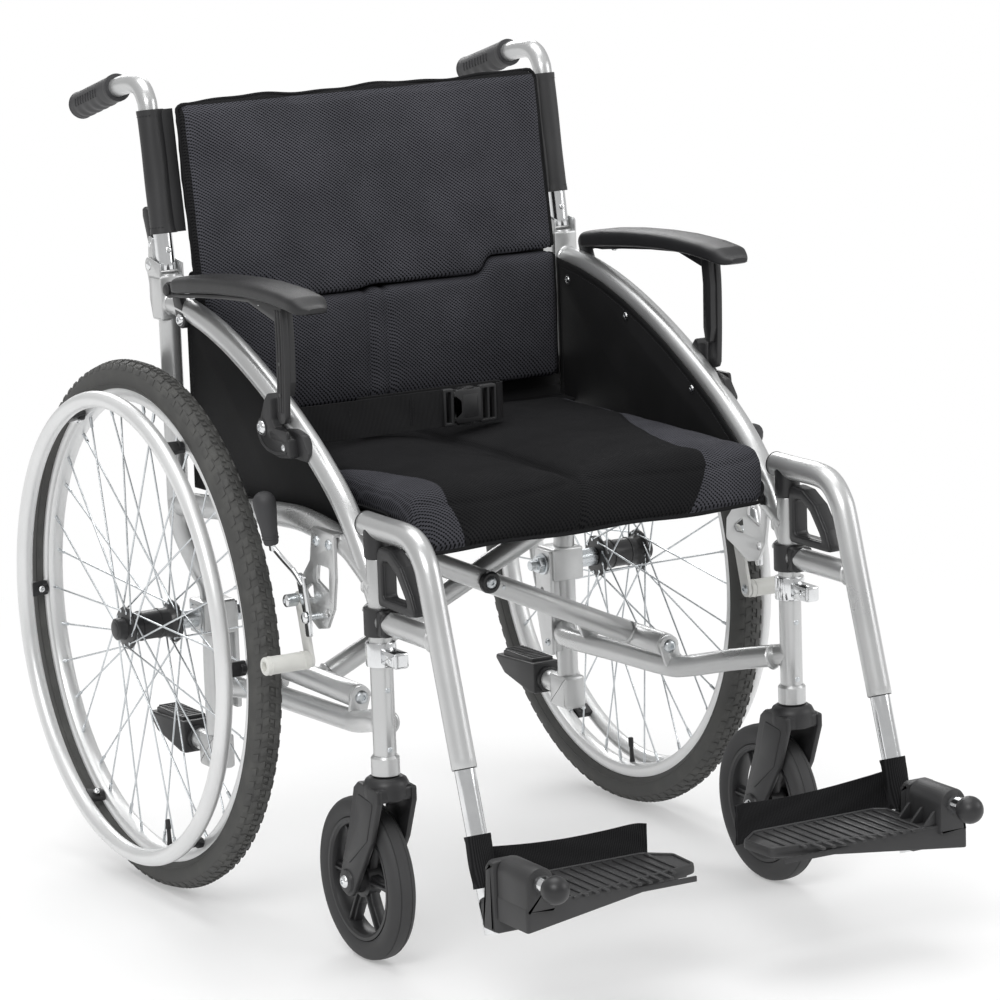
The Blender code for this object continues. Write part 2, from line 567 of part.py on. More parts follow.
def hanger(side, pivot):
    """Swing-away hanger: bent tube, lower bar, collar round the post and plug on top of it."""
    top = (-0.437, HANGER_TOP)
    leg = plane_tube(side, FRAME_X, [top, (-0.524, HANGER_TOP), (-0.547, 0.4800), (-0.564, 0.4640),
                                     (-0.573, 0.4450), LEG_END], HANGER_R)
    bar = plane_tube(side, FRAME_X, [(POST_Y - 0.004, HANGER_BAR), (-0.590, HANGER_BAR)], HANGER_R - 0.001)
    collar = rod((side * FRAME_X, POST_Y, 0.3685), (side * FRAME_X, POST_Y, 0.3995), 0.0172)
    plug = rod((side * FRAME_X, POST_Y, POST_TOP + CLEAR), (side * FRAME_X, POST_Y, HANGER_TOP), 0.0120)
    post_hole = rod((side * FRAME_X, POST_Y, 0.360), (side * FRAME_X, POST_Y, 0.410), TUBE_R + 0.0010)
    inner_hole = plane_tube(side, FRAME_X, [along(LEG_END, (-0.573, 0.445), -0.2),
                                            along(LEG_END, (-0.573, 0.445), 0.62)], INNER_R + 0.0004)
    part(name_of("hanger", side), SILVER, pivot, leg, joined=[bar, collar, plug],
         cut=[post_hole, inner_hole])


def hanger_release(side, pivot):
    """Black release loop between the post and the hanger's leg."""
    loop = plate(side, FRAME_X - 0.0095, FRAME_X + 0.0095,
                 [(-0.4745, 0.4040), (-0.4745, 0.4600), (-0.4800, 0.4680), (-0.5020, 0.4660),
                  (-0.5250, 0.4530), (-0.5450, 0.4270), (-0.5560, 0.4040)])
    window = plate(side, FRAME_X - 0.02, FRAME_X + 0.02,
                   [(-0.4845, 0.4130), (-0.4845, 0.4540), (-0.4990, 0.4545), (-0.5160, 0.4440),
                    (-0.5330, 0.4230), (-0.5395, 0.4130)])
    part(name_of("hanger_release", side), BLACK, pivot, loop, cut=[window])


def leg_point(z):
    """Point on the hanger leg's axis, carried on below its end, at height z."""
    return along(LEG_END, (-0.573, 0.445), (z - LEG_END[1]) / (0.445 - LEG_END[1]))


def footrest_tube(side, pivot):
    """Inner tube of the footrest with the clamp that carries the flip-up plate's hinge rod."""
    inner = plane_tube(side, FRAME_X, [leg_point(INNER_END), leg_point(0.300)], INNER_R)
    foot = plate(side, 0.2440, 0.2745, [(-0.6640, 0.1000), (-0.6640, 0.1340), (-0.6900, 0.1340),
                                        (-0.6920, 0.1700), (-0.7000, 0.1780), (-0.7120, 0.1780),
                                        (-0.7120, 0.1000)])
    hinge_rod = rod((side * FLIP_X, -0.700, FLIP_Z), (side * FLIP_X, -0.8035, FLIP_Z), 0.0060)
    knob = ball(side * FLIP_X, -0.8035, FLIP_Z, 0.0135)
    part(name_of("footrest_tube", side), CHROME, pivot, inner, joined=[foot, hinge_rod, knob])


def ball(x, y, z, radius):
    made = bmesh.new()
    bmesh.ops.create_uvsphere(made, u_segments=12, v_segments=8, radius=radius)
    bmesh.ops.translate(made, verts=made.verts, vec=(x, y, z))
    mesh = bpy.data.meshes.new("knob")
    made.to_mesh(mesh)
    made.free()
    return shape(mesh)


def footplate(side, pivot):
    """Flip-up footplate: a deck that thins inwards, and the barrel that turns on the hinge rod."""
    deck = flat_plate(side, 0.1150, 0.1450, [(PLATE_OUT, PLATE_FRONT), (PLATE_OUT, -0.7135),
                                             (0.238, -0.7135), (0.238, PLATE_BACK - 0.010),
                                             (0.225, PLATE_BACK), (0.070, PLATE_BACK),
                                             (PLATE_IN, PLATE_BACK - 0.024),
                                             (PLATE_IN + 0.003, PLATE_FRONT + 0.038)])
    slope = box((0.03, -0.85, 0.06), (0.29, -0.60, 0.1345), side)
    for vertex in slope.data.vertices:
        if vertex.co.z > 0.10 and abs(vertex.co.x) > 0.2:
            vertex.co.z = 0.1165
    barrel = rod((side * FLIP_X, PLATE_FRONT, FLIP_Z), (side * FLIP_X, -0.7130, FLIP_Z), 0.0165)
    cheek = flat_plate(side, 0.1300, 0.1600,
                       [(FLIP_X + 0.008, PLATE_FRONT + 0.001), (FLIP_X + 0.008, -0.7135),
                        (0.232, -0.7135), (0.232, PLATE_FRONT + 0.001)])
    bore = rod((side * FLIP_X, -0.9, FLIP_Z), (side * FLIP_X, -0.6, FLIP_Z), 0.0065)
    part(name_of("footplate", side), BLACK, pivot, deck, joined=[cheek, barrel], cut=[slope, bore])


def heel_strap(side, pivot):
    """Webbing strap from a loop round the footrest's tube to the back of the plate."""
    loop = plane_tube(side, FRAME_X, [leg_point(0.1440), leg_point(0.1900)], 0.0145)
    band = flat_plate(side, 0.1290, 0.1690, [(FRAME_X - 0.006, -0.6525), (0.160, -0.6485),
                                             (0.058, -0.6540), (0.056, -0.6510), (0.160, -0.6455),
                                             (FRAME_X - 0.002, -0.6490)])
    bore = plane_tube(side, FRAME_X, [leg_point(0.120), leg_point(0.220)], INNER_R + CLEAR)
    part(name_of("heel_strap", side), NYLON, pivot, loop, joined=[band], cut=[bore])


# ---------------------------------------------------------------- armrests

def pad_bottom(y):
    """Height of the arm pad's arched underside at y."""
    for (y0, z0), (y1, z1) in zip(PAD_UNDER, PAD_UNDER[1:]):
        if y1 <= y <= y0:
            return z0 + (z1 - z0) * (y - y0) / (y1 - y0)
    return PAD_UNDER[0][1]


def armrest_pad(side, pivot):
    part(name_of("armrest_pad", side), BLACK, pivot,
         plate(side, PAD_X - PAD_HALF, PAD_X + PAD_HALF, PAD_UNDER + PAD_OVER))


def armrest_support(side, pivot):
    """Arched carrier under the pad, with the rear eye and the front strut."""
    stations = [-0.038, -0.050, -0.095, -0.160, -0.220, -0.277]
    upper = [(y, pad_bottom(y) - CLEAR) for y in stations]
    lower = [(y, pad_bottom(y) - 0.0050) for y in reversed(stations[1:-1])]
    eye = [(-0.0400, 0.6840), *arc(ARM_PIVOT, 0.0092, 230, 510, 9), (-0.0322, 0.6868)]
    strut = [(-0.2980, pad_bottom(-0.298) - CLEAR), (-0.3020, 0.670), (-0.3010, 0.620), (-0.2985, 0.5810),
             (-0.2930, 0.5740), (-0.2840, 0.5740), (-0.2790, 0.5810), (-0.2810, 0.620), (-0.2830, 0.670)]
    body = plate(side, STRUT_X - STRUT_T / 2, STRUT_X + STRUT_T / 2, upper + strut + lower + eye)
    inner = plate(side, 0.2650, STRUT_X, [(-0.2980, pad_bottom(-0.298) - CLEAR), (-0.3015, 0.670),
                                          (-0.3000, 0.620), (-0.2960, 0.6020), (-0.2860, 0.6020),
                                          (-0.2820, 0.620), (-0.2835, 0.670), (-0.2800, 0.7000)])
    hole = cross_rod(side, 0.26, 0.29, ARM_PIVOT, 0.0045, 8)
    part(name_of("armrest_support", side), BLACK, pivot, body, joined=[inner], cut=[hole])


def armrest_clamp(side, pivot):
    """Bracket bolted to the arm tube, with a pocket for the strut's foot and two bolt heads."""
    body = plate(side, 0.2640, 0.2848, [(-0.2400, 0.5900), (-0.2385, 0.5560), (-0.2580, 0.5410),
                                        (-0.2900, 0.5370), (-0.3160, 0.5430), (-0.3080, 0.5650),
                                        (-0.3040, 0.5900), (-0.2850, 0.6010), (-0.2650, 0.6060)])
    nose = plate(side, 0.2635, 0.2748, [(-0.2850, 0.5380), (-0.3340, 0.5370), (-0.3400, 0.5460),
                                        (-0.3250, 0.5650), (-0.2900, 0.5860)])
    tube_hole = plane_tube(side, FRAME_X, ARM_PATH, ARM_R + CLEAR)
    pocket = plate(side, 0.2640 - 0.01, STRUT_X + STRUT_T / 2 + 0.0006,
                   [(-0.2740, 0.640), (-0.2740, 0.5770), (-0.2800, 0.5700), (-0.2970, 0.5700),
                    (-0.3030, 0.577), (-0.3500, 0.640)])
    bolts = [cross_rod(side, 0.2838, 0.2872, (-0.2520, 0.566), 0.0080, 8),
             cross_rod(side, 0.2838, 0.2862, (-0.3040, 0.551), 0.0045, 8)]
    part(name_of("armrest_clamp", side), BLACK, pivot, body, joined=[nose, *bolts], cut=[tube_hole, pocket])


# ---------------------------------------------------------------- brakes

def brake_bracket(side, pivot):
    """Plate clamped to the seat tube, with the pins of the lever and of the shoe's arm."""
    body = plate(side, 0.2735, 0.2780, [(-0.395, 0.468), (-0.345, 0.470), (-0.338, 0.432), (-0.309, 0.402),
                                        (-0.307, 0.378), (-0.325, 0.371), (-0.352, 0.358),
                                        (-0.372, 0.362), (-0.388, 0.385), (-0.395, 0.420)])
    pins = [cross_rod(side, 0.276, 0.2950, BRAKE_PIVOT, 0.0040, 8),
            cross_rod(side, 0.2925, 0.2960, BRAKE_PIVOT, 0.0065, 8),
            cross_rod(side, 0.276, 0.3000, SHOE_PIVOT, 0.0040, 8),
            cross_rod(side, 0.2850, 0.3005, SHOE_PIVOT, 0.0070, 8)]
    part(name_of("brake_bracket", side), SILVER, pivot, body, joined=pins)


def brake_lever(side, pivot):
    """Bent lever strip with its ball-topped grip."""
    strip = plate(side, 0.2870, 0.2910, [(-0.3580, 0.352), (-0.3460, 0.350), (-0.3440, 0.372),
                                         (-0.3300, 0.408), (-0.3340, 0.420), (-0.3460, 0.416),
                                         (-0.3560, 0.380)])
    arm = tube([(side * 0.2890, -0.339, 0.410), (side * 0.3045, -0.303, 0.445),
                (side * 0.3055, -0.301, 0.460)], 0.0045, 8)
    grip = tube([(side * 0.3045, -0.3015, 0.448), (side * 0.3130, -0.3060, 0.494)], 0.0115)
    knob = ball(side * 0.3132, -0.3062, 0.494, 0.0125)
    hole = cross_rod(side, 0.28, 0.30, BRAKE_PIVOT, 0.0045, 8)
    part(name_of("brake_lever", side), CHROME, pivot, strip, joined=[arm, grip, knob], cut=[hole])


def brake_shoe(side, pivot):
    """Arm with the round shoe that is pressed against the tyre."""
    arm = plate(side, 0.2792, 0.2837, arc(SHOE_PIVOT, 0.009, 0, 180, 5)
                + arc(SHOE, 0.009, 180, 360, 5))
    shoe = cross_rod(side, 0.2815, 0.3370, SHOE, 0.0100)
    hole = cross_rod(side, 0.27, 0.29, SHOE_PIVOT, 0.0045, 8)
    part(name_of("brake_shoe", side), CREAM, pivot, arm, joined=[shoe], cut=[hole])


# ---------------------------------------------------------------- upholstery

def seat_sling(pivot):
    part("seat_sling", NYLON, pivot,
         box((-SEAT_HALF + 0.002, -0.438, RAIL_Z + RAIL_R + CLEAR),
             (SEAT_HALF - 0.002, -0.022, RAIL_Z + RAIL_R + 0.0034)))


def seat_cushion(pivot):
    """Cushion on the sling, with a front lip that hangs over the sling's edge."""
    under = RAIL_Z + RAIL_R + 0.0038
    part("seat_cushion", MESH_CLOTH, pivot,
         plate(1, -SEAT_HALF, SEAT_HALF,
               [(SEAT_BACK, under), (-0.4425, under), (-0.4470, 0.446), (-0.484, 0.446),
                (SEAT_FRONT, 0.458), (SEAT_FRONT, 0.508), (-0.474, SEAT_TOP - 0.003),
                (-0.440, SEAT_TOP), (SEAT_BACK, SEAT_TOP)]))


def back_cushions(lower_pivot, upper_pivot):
    """Lower and upper halves of the back cushion; they part where the back folds."""
    part("back_cushion_lower", MESH_CLOTH, lower_pivot,
         plate(1, -BACK_HALF, BACK_HALF, [(0.0170, 0.530), (0.0170, BACK_SPLIT - 0.004),
                                          (-0.0190, BACK_SPLIT - 0.004), (-0.0250, 0.600),
                                          (-0.0260, 0.530)]))
    part("back_cushion_upper", MESH_CLOTH, upper_pivot,
         plate(1, -BACK_HALF, BACK_HALF, [(0.0131, BACK_SPLIT), (0.0465, BACK_TOP - 0.012),
                                          (0.0400, BACK_TOP), (0.0200, BACK_TOP),
                                          (0.0120, BACK_TOP - 0.008), (-0.0184, BACK_SPLIT)]))


def belt(pivot):
    """Lap belt in two halves with the buckle between them; the left half is folded back behind it."""
    front, rear, low = -0.2015, -0.1985, SEAT_TOP + 0.003
    part("belt_right", NYLON, pivot, box((-0.218, front, low), (-0.0315, rear, low + 0.044)))
    folded = [(0.0380, front), (0.0500, front), (0.0500, -0.1820), (-0.1300, -0.1820), (-0.1300, -0.1850),
              (0.0470, -0.1850), (0.0470, rear), (0.0380, rear)]
    part("belt_left", NYLON, pivot, flat_plate(1, low, low + 0.044, folded))
    part("buckle", BLACK, pivot, box((-0.031, -0.2065, low - 0.0004), (0.037, -0.1935, low + 0.0445)))


# ---------------------------------------------------------------- the chair

def half_chair(side, frame, upper_back):
    """Everything on one side frame, with its joint empties."""
    def joint(word, place, parent=frame):
        return empty_at(name_of(word, side) + "_joint", place, parent)

    side_frame(side, frame)
    skirt_guard(side, frame)
    tipping_pad(side, frame)
    axle_bolt(side, frame)
    armrest_clamp(side, frame)
    brake_bracket(side, frame)

    wheel = joint("wheel", (side * WHEEL_X, 0, WHEEL_R))
    rear_wheel(side, wheel)
    rear_tyre(side, wheel)
    handrim(side, wheel)

    swivel = joint("caster_swivel", (side * FRAME_X, POST_Y, 0.2))
    caster = joint("caster_spin", (side * FRAME_X, CASTER_Y, CASTER_R), swivel)
    caster_fork(side, swivel)
    caster_wheel(side, caster)
    caster_tyre(side, caster)

    back_cane(side, upper_back)
    push_grip(side, upper_back)
    back_sleeve(side, upper_back)
    back_latch(side, joint("back_latch", (side * FRAME_X, 0.050, 0.730), upper_back))

    swing = joint("hanger_swing", (side * FRAME_X, POST_Y, HANGER_BAR))
    hanger(side, swing)
    hanger_release(side, joint("hanger_release", (side * FRAME_X, -0.515, 0.404), swing))
    slide = joint("footrest_slide", (side * FRAME_X, *LEG_END), swing)
    footrest_tube(side, slide)
    heel_strap(side, slide)
    footplate(side, joint("footplate_flip", (side * FLIP_X, PLATE_FRONT, FLIP_Z), slide))

    arm = joint("armrest_flip", (side * STRUT_X, *ARM_PIVOT))
    armrest_pad(side, arm)
    armrest_support(side, arm)

    brake_lever(side, joint("brake", (side * 0.289, *BRAKE_PIVOT)))
    brake_shoe(side, joint("brake_shoe", (side * 0.2815, *SHOE_PIVOT)))


def wheelchair():
    clear_scene()
    right = empty_at("wheelchair_root", (0, 0, 0))
    rear_bar = empty_at("fold_joint", (-PIVOT_X, BRACE_Y, PIVOT_Z), right)
    front_bar = empty_at("cross_joint", (0, BRACE_Y, CENTRE_Z), rear_bar)
    left = empty_at("left_frame_joint", (PIVOT_X, BRACE_Y, PIVOT_Z), front_bar)
    back_right = empty_at("back_right_joint", (-FRAME_X, *BACK_PIVOT), right)
    back_left = empty_at("back_left_joint", (FRAME_X, *BACK_PIVOT), left)

    half_chair(-1, right, back_right)
    half_chair(1, left, back_left)
    brace("brace_rear", -1, rear_bar, BRACE_Y + BRACE_STEP)
    brace("brace_front", 1, front_bar, BRACE_Y - BRACE_STEP)
    brace_bolt(rear_bar)
    seat_sling(rear_bar)
    seat_cushion(rear_bar)
    belt(rear_bar)
    back_cushions(right, back_right)


wheelchair()
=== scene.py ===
"""Looks of the folding wheelchair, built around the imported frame. Metres, +Z up, the chair faces -Y.

Paths are (y, z) pairs measured from the floor under the rear axle, as in the CAD, and SHIFT moves them to
the row frame. side is -1 for the right half and +1 for the left half.
"""
import json
import math

import bmesh
import bpy
import numpy as np
from mathutils import Matrix, Vector


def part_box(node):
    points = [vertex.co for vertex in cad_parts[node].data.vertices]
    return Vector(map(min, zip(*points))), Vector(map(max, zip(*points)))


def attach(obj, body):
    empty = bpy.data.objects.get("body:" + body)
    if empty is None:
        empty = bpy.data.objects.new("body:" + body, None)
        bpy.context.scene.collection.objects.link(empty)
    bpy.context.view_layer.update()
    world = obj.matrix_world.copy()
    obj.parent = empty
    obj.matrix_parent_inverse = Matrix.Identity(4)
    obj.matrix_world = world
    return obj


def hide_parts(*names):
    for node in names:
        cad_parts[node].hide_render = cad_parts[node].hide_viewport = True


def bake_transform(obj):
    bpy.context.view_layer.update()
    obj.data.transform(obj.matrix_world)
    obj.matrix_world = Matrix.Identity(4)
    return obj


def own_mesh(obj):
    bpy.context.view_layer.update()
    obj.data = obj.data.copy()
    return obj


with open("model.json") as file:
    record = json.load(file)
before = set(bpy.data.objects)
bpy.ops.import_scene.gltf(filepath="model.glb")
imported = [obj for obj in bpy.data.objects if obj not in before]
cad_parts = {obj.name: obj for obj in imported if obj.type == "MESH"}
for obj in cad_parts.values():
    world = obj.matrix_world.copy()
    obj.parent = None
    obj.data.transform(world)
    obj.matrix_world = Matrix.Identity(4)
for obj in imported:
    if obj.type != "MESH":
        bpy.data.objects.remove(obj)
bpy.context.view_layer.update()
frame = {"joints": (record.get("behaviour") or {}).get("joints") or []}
JOINTS = {j["name"]: j for j in frame["joints"]}


def joint_at(name):
    return Vector(next(JOINTS[name][k] for k in ("origin_m", "anchor_m", "pos_m") if k in JOINTS[name]))


AXLE = joint_at("wheel_spin_left")
SHIFT = AXLE.y
WHEEL_X, WHEEL_R = AXLE.x, AXLE.z
FRAME_X = joint_at("caster_swivel_left").x
POST_Y = joint_at("caster_swivel_left").y - SHIFT
CASTER = joint_at("caster_spin_left")
CENTRE = joint_at("brace_cross")
PIVOT = joint_at("left_side")
SIDES = (-1, 1)


def named(word, side):
    return f"{word}_{'right' if side < 0 else 'left'}"


# ---------------------------------------------------------------- node materials

class Look:
    """A Principled material whose colour, roughness and bump come from nodes."""

    def __init__(self, name, colour, rough, metallic=0.0, **more):
        self.material = bpy.data.materials.new(name)
        self.material.use_nodes = True
        self.tree = self.material.node_tree
        self.bsdf = self.tree.nodes["Principled BSDF"]
        self.set("Base Color", (*colour, 1.0))
        self.set("Roughness", rough)
        self.set("Metallic", metallic)
        for key, value in more.items():
            self.set(key.replace("_", " ").title().replace("Ior", "IOR"), value)
        self.place = self.node("ShaderNodeTexCoord").outputs["Object"]
        self.material.diffuse_color = (*colour, 1.0)

    def node(self, kind, **settings):
        made = self.tree.nodes.new(kind)
        for key, value in settings.items():
            setattr(made, key, value)
        return made

    def put(self, socket, value):
        if isinstance(value, bpy.types.NodeSocket):
            self.tree.links.new(value, socket)
        else:
            socket.default_value = value

    def set(self, key, value):
        self.put(self.bsdf.inputs[key], value)

    def noise(self, scale, detail=2.0, place=None, rough=0.5):
        made = self.node("ShaderNodeTexNoise")
        self.put(made.inputs["Vector"], self.place if place is None else place)
        made.inputs["Scale"].default_value = scale
        made.inputs["Detail"].default_value = detail
        made.inputs["Roughness"].default_value = rough
        return made.outputs["Fac"]

    def cells(self, scale, place=None, feature="F1"):
        made = self.node("ShaderNodeTexVoronoi", feature=feature)
        self.put(made.inputs["Vector"], self.place if place is None else place)
        made.inputs["Scale"].default_value = scale
        return made.outputs["Distance"]

    def stretched(self, factors):
        made = self.node("ShaderNodeMapping")
        self.put(made.inputs["Vector"], self.place)
        made.inputs["Scale"].default_value = factors
        return made.outputs["Vector"]

    def axes(self):
        made = self.node("ShaderNodeSeparateXYZ")
        self.put(made.inputs[0], self.place)
        return made.outputs

    def calc(self, operation, a, b=0.0, c=0.0):
        made = self.node("ShaderNodeMath", operation=operation)
        for socket, value in zip(made.inputs, (a, b, c)):
            self.put(socket, value)
        return made.outputs[0]

    def span(self, value, low, high, to_low=0.0, to_high=1.0):
        """value mapped smoothly from one range to another, and kept inside it."""
        made = self.node("ShaderNodeMapRange", interpolation_type="SMOOTHSTEP")
        for socket, number in zip(made.inputs, (value, low, high, to_low, to_high)):
            self.put(socket, number)
        return made.outputs[0]

    def mix(self, share, a, b):
        made = self.node("ShaderNodeMix", data_type="RGBA")
        self.put(made.inputs[0], share)
        self.put(made.inputs[6], a if not isinstance(a, tuple) else (*a, 1.0))
        self.put(made.inputs[7], b if not isinstance(b, tuple) else (*b, 1.0))
        return made.outputs[2]

    def bump(self, height, strength, distance, normal=None):
        made = self.node("ShaderNodeBump")
        self.put(made.inputs["Height"], height)
        made.inputs["Strength"].default_value = strength
        made.inputs["Distance"].default_value = distance
        if normal is not None:
            self.put(made.inputs["Normal"], normal)
        self.set("Normal", made.outputs[0])
        return made.outputs[0]


def silver_paint(name, colour, rough, metallic):
    """Metallic lacquer: fine flake, a faint orange peel and slightly uneven gloss."""
    look = Look(name, colour, rough, metallic, coat_weight=0.22, coat_roughness=0.18)
    flake = look.cells(2600.0)
    peel = look.noise(420.0, 1.0)
    cloud = look.noise(9.0, 3.0)
    tone = look.span(flake, 0.0, 0.6, 0.93, 1.05)
    tone = look.calc("MULTIPLY", tone, look.span(cloud, 0.3, 0.7, 0.96, 1.03))
    shade = look.node("ShaderNodeMix", data_type="RGBA", blend_type="MULTIPLY")
    shade.inputs[0].default_value = 1.0
    shade.inputs[6].default_value = (*colour, 1.0)
    look.put(shade.inputs[7], tone)
    look.set("Base Color", shade.outputs[2])
    look.set("Roughness", look.span(cloud, 0.25, 0.75, rough - 0.05, rough + 0.06))
    look.bump(look.calc("ADD", look.calc("MULTIPLY", flake, 0.35), peel), 0.12, 0.00006)
    return look.material


def bright_metal(name, colour, rough, streak):
    """Plated metal with fine directional scratches and soft smudges."""
    look = Look(name, colour, rough, 1.0)
    smudge = look.noise(38.0, 4.0)
    lines = look.noise(700.0, 3.0, look.stretched(streak))
    look.set("Roughness", look.span(look.calc("ADD", smudge, look.calc("MULTIPLY", lines, 0.5)),
                                    0.45, 1.0, rough * 0.75, rough * 1.9))
    look.set("Base Color", look.mix(look.span(smudge, 0.3, 0.7), colour,
                                    tuple(c * 0.9 for c in colour)))
    look.bump(lines, 0.06, 0.00003)
    return look.material


def moulded(name, colour, rough, grain=1500.0, depth=0.00008, **more):
    """Moulded plastic or rubber: spark-eroded grain, a little dust and slight wear in its tone."""
    look = Look(name, colour, rough, **more)
    fine = look.noise(grain, 3.0, rough=0.6)
    cloud = look.noise(14.0, 4.0)
    worn = tuple(min(1.0, c * 1.5 + 0.004) for c in colour)
    look.set("Base Color", look.mix(look.span(cloud, 0.35, 0.8, 0.0, 0.7), colour, worn))
    look.set("Roughness", look.span(cloud, 0.3, 0.75, rough - 0.06, rough + 0.08))
    look.bump(fine, 0.35, depth)
    return look.material


def leathery(name, colour, rough, scale=900.0, gloss=0.4):
    """Coated fabric or skinned foam: a pebbled grain with creases between the cells."""
    look = Look(name, colour, rough, specular_ior_level=gloss)
    pebble = look.cells(scale)
    soft = look.noise(scale * 0.25, 3.0)
    cloud = look.noise(11.0, 4.0)
    look.set("Base Color", look.mix(look.span(cloud, 0.35, 0.75), colour, tuple(c * 1.45 for c in colour)))
    look.set("Roughness", look.span(pebble, 0.0, 0.7, rough - 0.05, rough + 0.1))
    look.bump(look.calc("ADD", look.calc("MULTIPLY", pebble, -1.0), soft), 0.3, 0.00012)
    return look.material


def webbing(name, colour, across, pitch=0.0016):
    """Woven tape: ribs across the tape with a herringbone of yarns. across is the axis the ribs repeat on."""
    look = Look(name, colour, 0.85, specular_ior_level=0.1)
    axis = look.axes()
    run = look.calc("MULTIPLY", axis[across], 2 * math.pi / pitch)
    other = look.calc("MULTIPLY", axis[2 if across != 2 else 0], 2 * math.pi / (pitch * 0.8))
    rib = look.calc("SINE", run)
    yarn = look.calc("SINE", look.calc("ADD", other, look.calc("MULTIPLY", run, 0.5)))
    weave = look.calc("MULTIPLY_ADD", yarn, 0.45, rib)
    fuzz = look.noise(1800.0, 2.0)
    # painted shade in the weave's troughs and a painted highlight on its crests
    look.set("Base Color", look.mix(look.span(weave, -1.2, 1.2), tuple(c * 0.45 for c in colour),
                                    tuple(c * 1.5 for c in colour)))
    look.bump(look.calc("MULTIPLY_ADD", fuzz, 0.5, weave), 0.55, 0.00025)
    return look.material


MESH_PITCH = 0.005


def spacer_mesh(name, colour, second=None, boundary=None):
    """Knitted spacer mesh: staggered oval holes between raised ribs, with painted shade (near black) inside the
    holes.

    The pattern runs on x and on height plus depth, so that it carries on over a rounded edge.
    boundary gives the share of the second colour from the object's coordinates.
    """
    look = Look(name, colour, 0.9, specular_ior_level=0.06)
    axis = look.axes()
    wobble = look.noise(60.0, 1.0)
    wobble = look.calc("MULTIPLY", look.calc("SUBTRACT", wobble, 0.5), 0.0016)
    across = look.calc("ADD", axis[0], wobble)
    down = look.calc("ADD", look.calc("ADD", axis[2], axis[1]), wobble)
    a = look.calc("MULTIPLY", across, math.pi / (MESH_PITCH * 0.5))
    b = look.calc("MULTIPLY", down, math.pi / (MESH_PITCH * 0.42))
    falling, rising = look.calc("COSINE", look.calc("ADD", a, b)), look.calc("COSINE",
                                                                             look.calc("SUBTRACT", a, b))
    hole = look.calc("MULTIPLY_ADD", falling, 0.6, look.calc("MULTIPLY", rising, 0.4))
    shaded_holes = look.span(hole, 0.02, 0.5)
    thread = look.noise(2600.0, 2.0)
    cloud = look.noise(16.0, 4.0)
    yarn = colour
    if second is not None:
        yarn = look.mix(boundary(look, axis), colour, second)
    lit = look.node("ShaderNodeMix", data_type="RGBA", blend_type="MULTIPLY")
    lit.inputs[0].default_value = 1.0
    look.put(lit.inputs[6], yarn if not isinstance(yarn, tuple) else (*yarn, 1.0))
    tone = look.calc("MULTIPLY", look.span(thread, 0.2, 0.8, 0.75, 1.3), look.span(cloud, 0.25, 0.75, 0.85,
                                                                                   1.12))
    look.put(lit.inputs[7], tone)
    # the holes are painted near black: painted shade inside the holes
    look.set("Base Color", look.mix(shaded_holes, lit.outputs[2], (0.0065, 0.0065, 0.0075)))
    look.bump(look.calc("MULTIPLY_ADD", thread, 0.25, look.calc("MULTIPLY", shaded_holes, -1.0)), 0.8, 0.0006)
    return look.material


def tyre_rubber(name):
    look = Look(name, (0.05, 0.051, 0.049), 0.72)
    grime = look.noise(45.0, 5.0)
    fine = look.noise(1300.0, 3.0)
    look.set("Base Color", look.mix(look.span(grime, 0.35, 0.75), (0.058, 0.058, 0.056),
                                    (0.088, 0.088, 0.084)))
    look.set("Roughness", look.span(grime, 0.3, 0.7, 0.62, 0.86))
    look.bump(fine, 0.3, 0.0001)
    return look.material


SILVER = silver_paint("silver_paint", (0.57, 0.575, 0.575), 0.31, 0.74)
RIM_SILVER = silver_paint("rim_silver", (0.74, 0.745, 0.745), 0.34, 0.5)
CHROME = bright_metal("chrome", (0.82, 0.83, 0.84), 0.1, (1.0, 1.0, 0.05))
ZINC = bright_metal("zinc", (0.66, 0.69, 0.71), 0.24, (0.1, 1.0, 1.0))
SPOKE = bright_metal("spoke_steel", (0.72, 0.75, 0.77), 0.22, (1.0, 0.2, 0.2))
BLACK = moulded("black_plastic", (0.016, 0.016, 0.017), 0.42)
SATIN = moulded("satin_black", (0.02, 0.02, 0.021), 0.34, 900.0, 0.00004)
PLATE = moulded("footplate_plastic", (0.026, 0.026, 0.027), 0.5, 700.0, 0.00016)
RUBBER = tyre_rubber("tyre_rubber")
CASTER_RUBBER = moulded("caster_rubber", (0.03, 0.03, 0.031), 0.62, 900.0, 0.0001)
GRIP = moulded("grip_rubber", (0.03, 0.03, 0.032), 0.55, 1200.0, 0.00012)
PAD = leathery("armpad_skin", (0.017, 0.017, 0.018), 0.4, 1100.0)
VINYL = leathery("coated_fabric", (0.02, 0.02, 0.021), 0.44, 700.0, 0.45)
GUARD = leathery("guard_fabric", (0.011, 0.011, 0.0115), 0.6, 1000.0, 0.14)
PIPING = webbing("piping", (0.014, 0.014, 0.015), 0, 0.0012)
BELT = webbing("belt_webbing", (0.02, 0.02, 0.021), 0)
STRAP = webbing("strap_webbing", (0.016, 0.016, 0.017), 0, 0.002)
CREAM = moulded("cream_plastic", (0.6, 0.6, 0.57), 0.4)
PALE = moulded("pale_link", (0.62, 0.62, 0.6), 0.5)
THREAD = webbing("stitch_thread", (0.03, 0.03, 0.032), 0, 0.0006)


# ---------------------------------------------------------------- mesh tools

